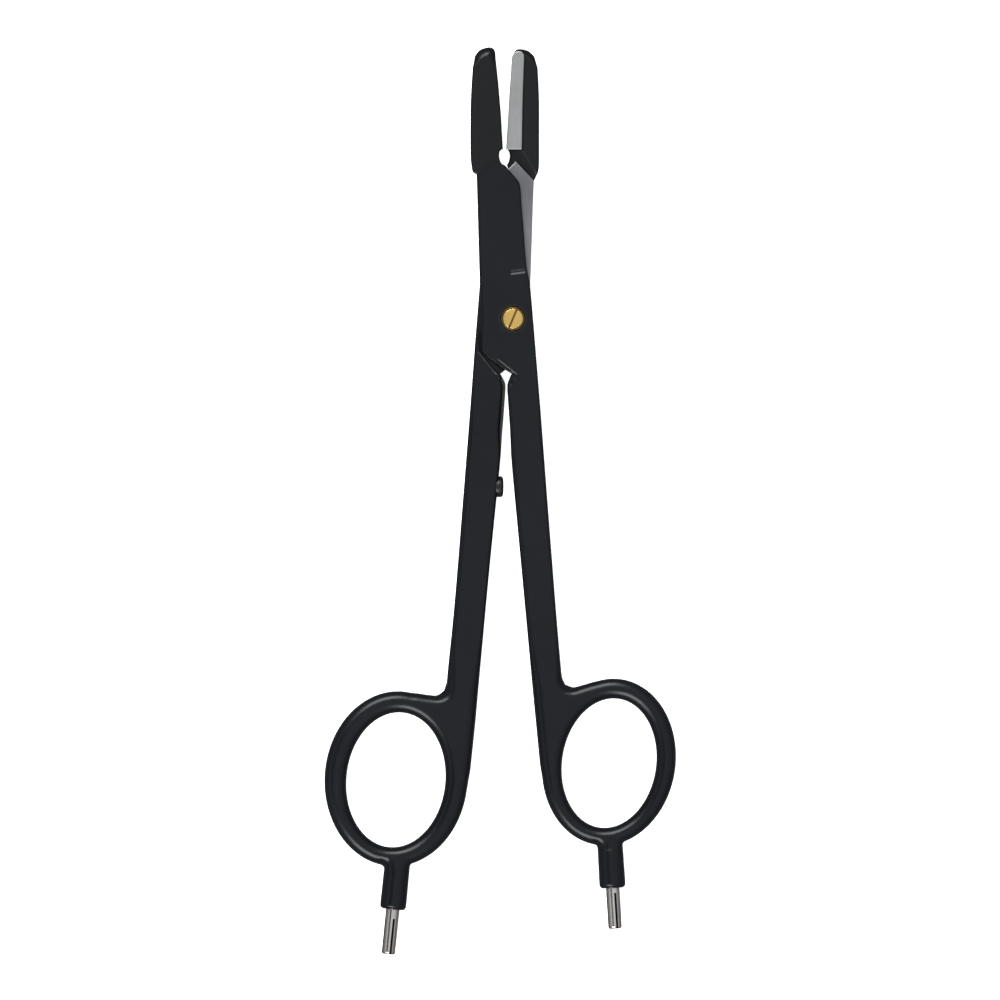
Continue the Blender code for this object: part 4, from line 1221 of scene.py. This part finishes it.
@dataclass
class UpperHalf:
    """The half that turns: blade on the left, finger ring on the right, in front at the joint."""

    shop: Workshop
    handle: Handle = field(default_factory=lambda: Handle(
        Oval((21.17, -97.90), 18.50, 14.73, 9.0), Oval((21.22, -98.16), 14.34, 10.35, 8.8),
        Stem((21.58, -118.7), 3.54, 7.05, 16.05), roots=((12.0, -80.6), (18.9, -117.6)),
        crisp=((-6.85, -3.05), (-6.85, -7.0), (-5.64, -8.36), (-1.72, -11.34))))
    bush_hole: float = 3.11
    foot_round: float = 0.2
    relief_slope: float = 0.18
    lap: tuple[Point, ...] = (
        (4.05, -7.0), (0.70, -11.2), (-0.65, -12.6), (-13.0, -12.6), (-13.0, 42.0), (11.5, 42.0),
        (11.5, -2.9), (4.05, -2.9))
    seam: tuple[Point, ...] = ((-8.02, 31.48), (-3.9, 34.84), (-2.35, 34.12))
    groove: tuple[Point, Point] = ((-0.40, 10.17), (6.5, 11.10))
    groove_half_width: float = 0.66
    groove_depth: float = 0.20
    ledge: tuple[Point, Point] = ((-3.4, -8.75), (1.5, -12.6))
    ledge_slope: float = 0.46
    core_heights: tuple[float, float] = (4.0, 4.85)

    def coat_plan(self) -> Plan:
        """The coat's plan, from the blade cover's seam down to the stem's end."""
        outline = [
            self.seam[-1],
            *smooth((-1.66, 33.76), (-0.98, 32.90), (0.02, 31.78), (0.90, 30.70), (1.44, 29.90)),
            *smooth((1.44, 29.90), (1.70, 28.4), (1.96, 24.5), (2.33, 20.1), (2.94, 12.4), (3.80, 7.5)),
            *smooth((3.80, 7.5), (4.49, -0.4), (6.12, -20.3)),
            *smooth((7.32, -36.2), (9.35, -62.3), (10.60, -77.0), (10.90, -79.4)),
            *smooth((11.55, -80.8), (13.3, -81.37), (15.1, -80.97), (17.2, -80.35)),
            *self.handle.stem.outline(self.handle.ring, -18.0, 252.0),
            *smooth((5.95, -98.5), (5.00, -88.8), (4.16, -80.0), (1.90, -55.7), (-0.15, -33.6),
                    (-0.95, -22.5)),
            *smooth((-1.30, -16.9), (-1.35, -14.4), (-0.30, -12.2)),
            (-1.72, -11.34), (-5.64, -8.36), (-6.85, -7.0), (-6.85, -3.05), (-7.34, 7.8), self.seam[0],
        ]
        return Plan(
            [Run(outline), Run(list(self.seam), seam=True)],
            self.handle.edge_width, [self.handle.finger_hole(), Hole(circle(self.bush_hole))],
            steps=[ccw(self.lap)], step_width=self.foot_round,
            guides=[Guide(*self.groove, (0.0, 0.1, 0.2, 0.3, 0.42, 0.54, 0.66, 0.8), around=True),
                    Guide(*self.ledge, (0.15, 0.0, -0.08, -0.16, -0.26, -0.36, -0.5, -0.9, -1.4))])

    def groove_fall(self, points: np.ndarray) -> np.ndarray:
        """Depth of the round-ended groove across the ricasso."""
        reach = distance_to(points, [np.array(self.groove)])
        return self.groove_depth * (1 - ramp(reach, 0.0, self.groove_half_width))

    def ledge_fall(self, points: np.ndarray) -> np.ndarray:
        """Depth of the shallow relief beside the crotch, which starts at a thin slanting ledge."""
        start, end = (np.array(p) for p in self.ledge)
        length = float(np.hypot(*(end - start)))
        along = (end - start) / length
        aside = np.array((along[1], -along[0]))
        down, beside = (points - start) @ along, (points - start) @ aside
        presence = ramp(down, -1.2, 1.2) * (1 - ramp(down, length - 0.7, length - 0.1))
        lip = np.clip(beside, 0.0, 0.26)
        return presence * (self.ledge_slope * lip + 0.05 * np.maximum(0.0, beside - 0.26))

    def coat(self) -> bpy.types.Object:
        """Insulating coat from the ricasso to the plug stem, with the groove and the relief."""
        plan = self.coat_plan()
        lap = ccw(self.lap)

        def top(points: np.ndarray) -> np.ndarray:
            """Front face."""
            body = MIDDLE + self.handle.half_height(plan, points)
            return body - self.groove_fall(points) - self.ledge_fall(points)

        def bottom(points: np.ndarray) -> np.ndarray:
            """Back face: the full body below the shoulder, the lap's foot above it."""
            body = MIDDLE - self.handle.half_height(plan, points)
            depth = signed_distance(points, lap)
            rise = self.foot_round * (1 - quarter_round(-depth, self.foot_round))
            foot = np.maximum(body, UPPER_LAP_FOOT + lap_edge(points, plan, 0.1))
            return np.where(depth > 0, foot, body + rise)

        made = slab("upper_dipped_coat", plan, top, bottom)
        slope_flank(made, plan, self.relief_slope, -1)
        return self.shop.dress(made, DIPPED_POLYAMIDE, Slot.COAT, Body.UPPER, "upper_handle_coat")

    def core(self) -> bpy.types.Object:
        """The forged limb inside the coat and the cover, down to the finger ring."""
        outline = [
            (-8.2, 36.5), (-8.1, 52.0), (-6.7, 57.0), (-4.9, 57.0), (-3.6, 44.0), (-3.6, 36.0), (0.1, 29.5),
            (1.4, 14.0), (2.6, 2.0), (4.8, -20.0), (7.9, -62.0), (8.9, -76.0), (6.0, -76.0), (3.4, -55.7),
            (1.4, -33.6), (0.5, -20.0), (0.4, -12.6), (-1.7, -9.6), (-4.8, -7.3), (-5.6, -6.0), (-6.1, 7.8),
            (-6.9, 31.0), (-8.2, 36.5)]
        plan = Plan([Run(outline)], lambda points: np.full(len(points), 0.3),
                    [Hole(circle(self.bush_hole + 0.3))], spacing=1.2, rows=3)

        def top(points: np.ndarray) -> np.ndarray:
            """Front face with rounded edges."""
            return self.core_heights[1] - 0.3 * (1 - quarter_round(plan.edge_distance(points), 0.3))

        made = slab("upper_forged_limb", plan, top, lambda points: np.full(len(points), self.core_heights[0]))
        return self.shop.dress(made, GROUND_STAINLESS, Slot.STEEL, Body.UPPER, "upper_limb")

    def strip_line(self) -> list[Point]:
        """The cutting strip's outline; its edge lies just under the cover's."""
        return [
            (-5.55, 37.35), (-2.20, 37.35), (-2.62, 44.7), (-3.21, 51.8), (-3.77, 57.1),
            *smooth((-3.80, 57.4), (-3.9, 58.4), (-4.5, 59.1), (-5.25, 59.2), (-5.95, 59.0), (-6.30, 58.2)),
            (-6.30, 57.1), *smooth((-5.95, 48.2), (-5.65, 39.4), (-5.55, 37.35))]

    def cutting_strip(self) -> bpy.types.Object:
        """Ground strip on the blade's mating side."""
        plan = Plan([Run(self.strip_line())], lambda points: np.full(len(points), 0.30))

        def bottom(points: np.ndarray) -> np.ndarray:
            """Mating face with a shallow bevel."""
            return UPPER_LAP_FOOT + 0.10 * (1 - np.minimum(plan.edge_distance(points) / 0.26, 1.0))

        made = slab("upper_edge_strip", plan, lambda points: np.full(len(points), UPPER_LAP_FOOT + 0.86),
                    bottom)
        return self.shop.dress(made, LAPPED_STAINLESS, Slot.STRIP, Body.UPPER, "upper_cutting_strip",
                               crease=12.0)

    def blade_cover(self) -> bpy.types.Object:
        """Moulded cover over the whole front of the blade, rounded down at its tip."""
        outline = [
            (-8.02, 31.42),
            *smooth((-8.10, 31.90), (-8.56, 32.06), (-8.90, 32.45), (-9.12, 33.4), (-9.33, 35.2)),
            *smooth((-9.33, 35.2), (-9.40, 39.4), (-9.31, 48.2), (-8.91, 55.3)),
            *smooth((-8.40, 58.0), (-7.34, 59.3), (-5.53, 59.89), (-4.45, 59.7), (-3.92, 58.9), (-3.79, 57.1)),
            *smooth((-3.23, 51.8), (-2.64, 44.7), (-2.22, 37.6)),
            *smooth((-2.98, 36.86), (-3.05, 36.0), (-2.98, 35.31), (-2.70, 34.54), (-2.33, 34.06))]

        def width(points: np.ndarray) -> np.ndarray:
            """The edge's rounding, wider round the tip."""
            return 0.5 + 1.75 * ramp(points[:, 1], 55.0, 58.8)

        plan = Plan([Run(outline), Run([(-2.33, 34.06), (-3.9, 34.78), (-8.02, 31.42)], seam=True)], width,
                    steps=[ccw(inset(ccw(resampled(self.strip_line(), 0.5)[:-1]), -0.1))], step_width=0.05)
        pocket = plan.steps[0]

        def top(points: np.ndarray) -> np.ndarray:
            """Outer face."""
            reach = width(points)
            return HIGH - reach * (1 - quarter_round(plan.edge_distance(points), reach))

        def bottom(points: np.ndarray) -> np.ndarray:
            """Mating face with the strip's pocket."""
            return np.where(signed_distance(points, pocket) > 0, UPPER_LAP_FOOT + 0.88, UPPER_LAP_FOOT)

        made = slab("upper_moulded_cover", plan, top, bottom)
        return self.shop.dress(made, MOULDED_POLYAMIDE, Slot.COVER, Body.UPPER, "upper_blade_cover")


# ------------------------------------------------------------------------------ fittings

@dataclass
class Fittings:
    """The turned pieces: pivot screw, cup, bush, nut, closing stop and the two split contacts."""

    shop: Workshop
    screw_shank: float = 1.2
    screw_head: float = 2.20
    screw_foot: float = 0.55
    head_foot: float = 5.00
    head_top: float = 5.80
    slot: tuple[float, float] = (0.44, 0.55)
    slot_turn: float = 67.0
    cup: tuple[float, float] = (2.41, 2.58)
    cup_heights: tuple[float, float] = (4.65, 5.85)
    contact_radius: float = 1.5
    contact_slot: tuple[float, float] = (0.5, 7.9)
    contact_turn: float = -19.0
    stop_place: Point = (-3.40, -37.1)

    def pivot(self) -> None:
        """Screw, cup, bush and nut on the pivot axis, and the washer between the laps."""
        make, dress = self.shop.lathe.make, self.shop.dress
        brass = self.shop.look(TURNED_BRASS)
        black = self.shop.look(TURNED_ACETAL)
        running = self.screw_shank + 0.05
        head = rounded_profile([
            (0.0, self.screw_foot, 0.0), (self.screw_shank, self.screw_foot, 0.1),
            (self.screw_shank, self.head_foot, 0.0), (self.screw_head, self.head_foot, 0.05),
            (self.screw_head, self.head_top - 0.03, 0.12), (0.0, self.head_top, 0.0)])
        slot_width, slot_depth = self.slot
        # The slot's walls take the darker brown brass, which is painted shade inside the slot
        screw = make("slotted_pivot_screw", head, brass, saw={
            "Cut Finish": self.shop.look(SLOT_SHADE_BRASS), "Cuts": 1, "Cut Width": slot_width * MM,
            "Cut Foot": (self.head_top - slot_depth) * MM, "Cut Turn": math.radians(self.slot_turn)})
        dress(screw, TURNED_BRASS, Slot.BRASS, Body.LOWER, "pivot_screw")
        inner, outer = self.cup
        low, high = self.cup_heights
        rim = rounded_profile([
            (running, low, 0.0), (outer, low, 0.05), (outer, high, 0.12), (inner, high, 0.1),
            (inner, low + 0.3, 0.0), (running, low + 0.3, 0.0)], ring=True)
        cup = make("brass_screw_cup", rim, self.shop.look(OLIVE_CUP_BRASS))
        dress(cup, OLIVE_CUP_BRASS, Slot.BRASS, Body.UPPER, "screw_cup")
        tray = low - 0.05
        well = outer + 0.2
        sleeve = rounded_profile([
            (running, 3.27, 0.0), (2.0, 3.27, 0.0), (2.0, 4.25, 0.0), (3.1, 4.25, 0.0), (3.1, HIGH, 0.0),
            (well, HIGH, 0.06), (well, tray, 0.0), (running, tray, 0.0)], ring=True)
        dress(make("insulating_bush", sleeve, black), TURNED_ACETAL, Slot.INSULATOR, Body.UPPER, "pivot_bush")
        nut = rounded_profile([
            (0.0, 0.0, 0.0), (2.6, 0.0, 0.25), (2.6, 1.35, 0.05), (running, 1.35, 0.0), (running, 0.5, 0.0),
            (0.0, 0.5, 0.0)])
        dress(make("capped_pivot_nut", nut, brass), TURNED_BRASS, Slot.BRASS, Body.LOWER, "pivot_nut")
        self.shop.keep("joint_washer", TURNED_ACETAL, Slot.INSULATOR)

    def closing_stop(self) -> None:
        """Domed silicone button on the inner edge of the lower shank, its tail in the shank."""
        profile = rounded_profile([
            (0.0, -2.6, 0.0), (1.0, -2.6, 0.2), (1.0, -0.5, 0.0), (2.3, -0.5, 0.1), (2.3, 0.75, 0.0)])
        for turn in range(15, 91, 15):
            lean = math.radians(turn)
            profile.append((1.2 + 1.1 * math.cos(lean), 0.75 + 0.55 * math.sin(lean)))
        profile.append((0.0, 1.32))
        place = Matrix.Translation((*self.stop_place, MIDDLE)) @ Matrix.Rotation(math.pi / 2, 4, "Y")
        made = self.shop.lathe.make("closing_button", profile, self.shop.look(SILICONE_RUBBER), 64, place=place)
        self.shop.dress(made, SILICONE_RUBBER, Slot.STOP, Body.LOWER, "closing_stop")

    def contact(self, name: str, node: str, stem: Stem, body: Body) -> None:
        """Split plug contact: a plated pin with two crossed saw cuts, its tail in the stem.

        Args:
            name: the piece's name.
            node: the CAD node that it replaces.
            stem: the stem that holds it.
            body: the body that it moves with.
        """
        width, length = self.contact_slot
        radius = self.contact_radius
        profile = rounded_profile([
            (0.0, stem.length - 4.6, 0.0), (0.9, stem.length - 4.6, 0.1), (0.9, stem.length - 0.6, 0.0),
            (radius, stem.length - 0.6, 0.05), (radius, stem.tip, 0.5), (0.0, stem.tip, 0.0)])
        # The saw-cut faces get the nearly black painted shade of the deep cuts
        made = self.shop.lathe.make(name, profile, self.shop.look(NICKEL_PLATE), 96, place=stem.matrix(), saw={
            "Cut Finish": self.shop.look(CUT_SHADE_CONTACT), "Cuts": 2, "Cut Width": width * MM,
            "Cut Foot": (stem.tip - length) * MM, "Cut Turn": math.radians(90.0 + self.contact_turn)})
        self.shop.dress(made, NICKEL_PLATE, Slot.CONTACT, body, node)


# ------------------------------------------------------------------------------ studio

@dataclass
class Studio:
    """Pale floor, soft boxes beyond the tips and before the rings, a grey dome and the camera.

    boxes are (azimuth, elevation) pairs in degrees. The dome's dark patch lies at patch_lean
    degrees from overhead towards +X, and patch_edges is where it fades out.
    """

    view_width: float = 0.2208
    view_centre: tuple[float, float] = (-0.00286, -0.04005)
    camera_height: float = 0.6
    box_distance: float = 1.5
    box_size: tuple[float, float] = (0.95, 0.70)
    box_power: float = 22.0
    backlight: float = 0.9
    boxes: tuple[tuple[float, float], ...] = ((107.0, 42.0), (246.0, 42.0))
    sky: tuple[float, float] = (0.20, 0.72)
    patch_lean: float = -28.0
    patch_edges: tuple[float, float] = (10.0, 16.0)
    patch_low: float = 0.03

    def build(self) -> None:
        """Makes the floor, the lights, the sky and the camera."""
        self.floor()
        for number, (azimuth, elevation) in enumerate(self.boxes):
            self.soft_box(f"soft_box_{number}", azimuth, elevation)
        self.dome()
        self.camera()

    def floor(self) -> None:
        """A wide pale sheet under the scissors, lit from behind, which their gloss does not mirror."""
        half = 3000.0
        corners = np.array([(-half, -half, 0.0), (half, -half, 0.0), (half, half, 0.0), (-half, half, 0.0)])
        made = piece_from("studio_floor", corners, [(0, 1, 2, 3)])
        paint = bpy.data.materials.new("studio_paper")
        paint.use_nodes = True
        shader = paint.node_tree.nodes["Principled BSDF"]
        shader.inputs["Base Color"].default_value = linear("#f7f7f7")
        shader.inputs["Roughness"].default_value = 0.9
        shader.inputs["Specular IOR Level"].default_value = 0.2
        shader.inputs["Emission Color"].default_value = (1.0, 1.0, 1.0, 1.0)
        shader.inputs["Emission Strength"].default_value = self.backlight
        made.data.materials.append(paint)
        made.visible_glossy = False

    def soft_box(self, name: str, azimuth: float, elevation: float) -> None:
        """A rectangular light that faces the scissors.

        Args:
            name: the light's name.
            azimuth: its direction in degrees, anticlockwise from +X.
            elevation: its height above the floor in degrees.
        """
        turn, rise = math.radians(azimuth), math.radians(elevation)
        away = Vector((math.cos(turn) * math.cos(rise), math.sin(turn) * math.cos(rise), math.sin(rise)))
        light = bpy.data.lights.new(name, "AREA")
        light.shape = "RECTANGLE"
        light.size, light.size_y = self.box_size
        light.energy = self.box_power
        made = bpy.data.objects.new(name, light)
        made.location = Vector((*self.view_centre, 0.0)) + away * self.box_distance
        made.rotation_euler = away.to_track_quat("Z", "Y").to_euler()
        bpy.context.scene.collection.objects.link(made)

    def dome(self) -> None:
        """A sky that is bright overhead and dim low down, with a dark patch above on the left."""
        world = bpy.data.worlds.new("studio_dome")
        world.use_nodes = True
        bpy.context.scene.world = world
        tree = world.node_tree
        sky = tree.nodes["Background"]
        way = add_node(tree, "ShaderNodeTexCoord").outputs["Generated"]
        apart = add_node(tree, "ShaderNodeSeparateXYZ", {}, {0: way})
        rise = add_node(tree, "ShaderNodeMapRange", {"interpolation_type": "SMOOTHSTEP"}, {
            "Value": apart.outputs["Z"], "From Min": -0.1, "From Max": 0.9,
            "To Min": self.sky[0], "To Max": self.sky[1]})
        lean = add_node(tree, "ShaderNodeMath", {"operation": "ARCTAN2"}, {
            0: apart.outputs["X"], 1: apart.outputs["Z"]})
        gap = add_node(tree, "ShaderNodeMath", {"operation": "SUBTRACT"}, {
            0: lean.outputs[0], 1: math.radians(self.patch_lean)})
        width = add_node(tree, "ShaderNodeMath", {"operation": "ABSOLUTE"}, {0: gap.outputs[0]})
        first, last = (math.radians(edge) for edge in self.patch_edges)
        patch = add_node(tree, "ShaderNodeMapRange", {"interpolation_type": "SMOOTHSTEP"}, {
            "Value": width.outputs[0], "From Min": first, "From Max": last,
            "To Min": self.patch_low, "To Max": 1.0})
        total = add_node(tree, "ShaderNodeMath", {"operation": "MULTIPLY"}, {
            0: rise.outputs[0], 1: patch.outputs[0]})
        sky.inputs["Color"].default_value = (1.0, 1.0, 1.0, 1.0)
        tree.links.new(total.outputs[0], sky.inputs["Strength"])

    def camera(self) -> None:
        """A camera straight above, without perspective."""
        lens = bpy.data.cameras.new("overhead_camera")
        lens.type = "ORTHO"
        lens.ortho_scale = self.view_width
        lens.clip_start, lens.clip_end = 0.01, 10.0
        made = bpy.data.objects.new("overhead_camera", lens)
        made.location = (*self.view_centre, self.camera_height)
        bpy.context.scene.collection.objects.link(made)
        bpy.context.scene.camera = made
        bpy.context.scene.view_settings.view_transform = "Standard"


def main() -> None:
    """Builds the studio and every piece."""
    logging.basicConfig(level=logging.INFO, format="%(name)s: %(message)s")
    Studio().build()
    shop = Workshop()
    lower, upper, fittings = LowerHalf(shop), UpperHalf(shop), Fittings(shop)
    for half in (lower, upper):
        half.coat()
        half.blade_cover()
        half.cutting_strip()
    lower.blade_steel()
    upper.core()
    fittings.pivot()
    fittings.closing_stop()
    fittings.contact("lower_split_contact", "lower_contact_pin", lower.handle.stem, Body.LOWER)
    fittings.contact("upper_split_contact", "upper_contact_pin", upper.handle.stem, Body.UPPER)


if __name__ == "__main__":
    main()
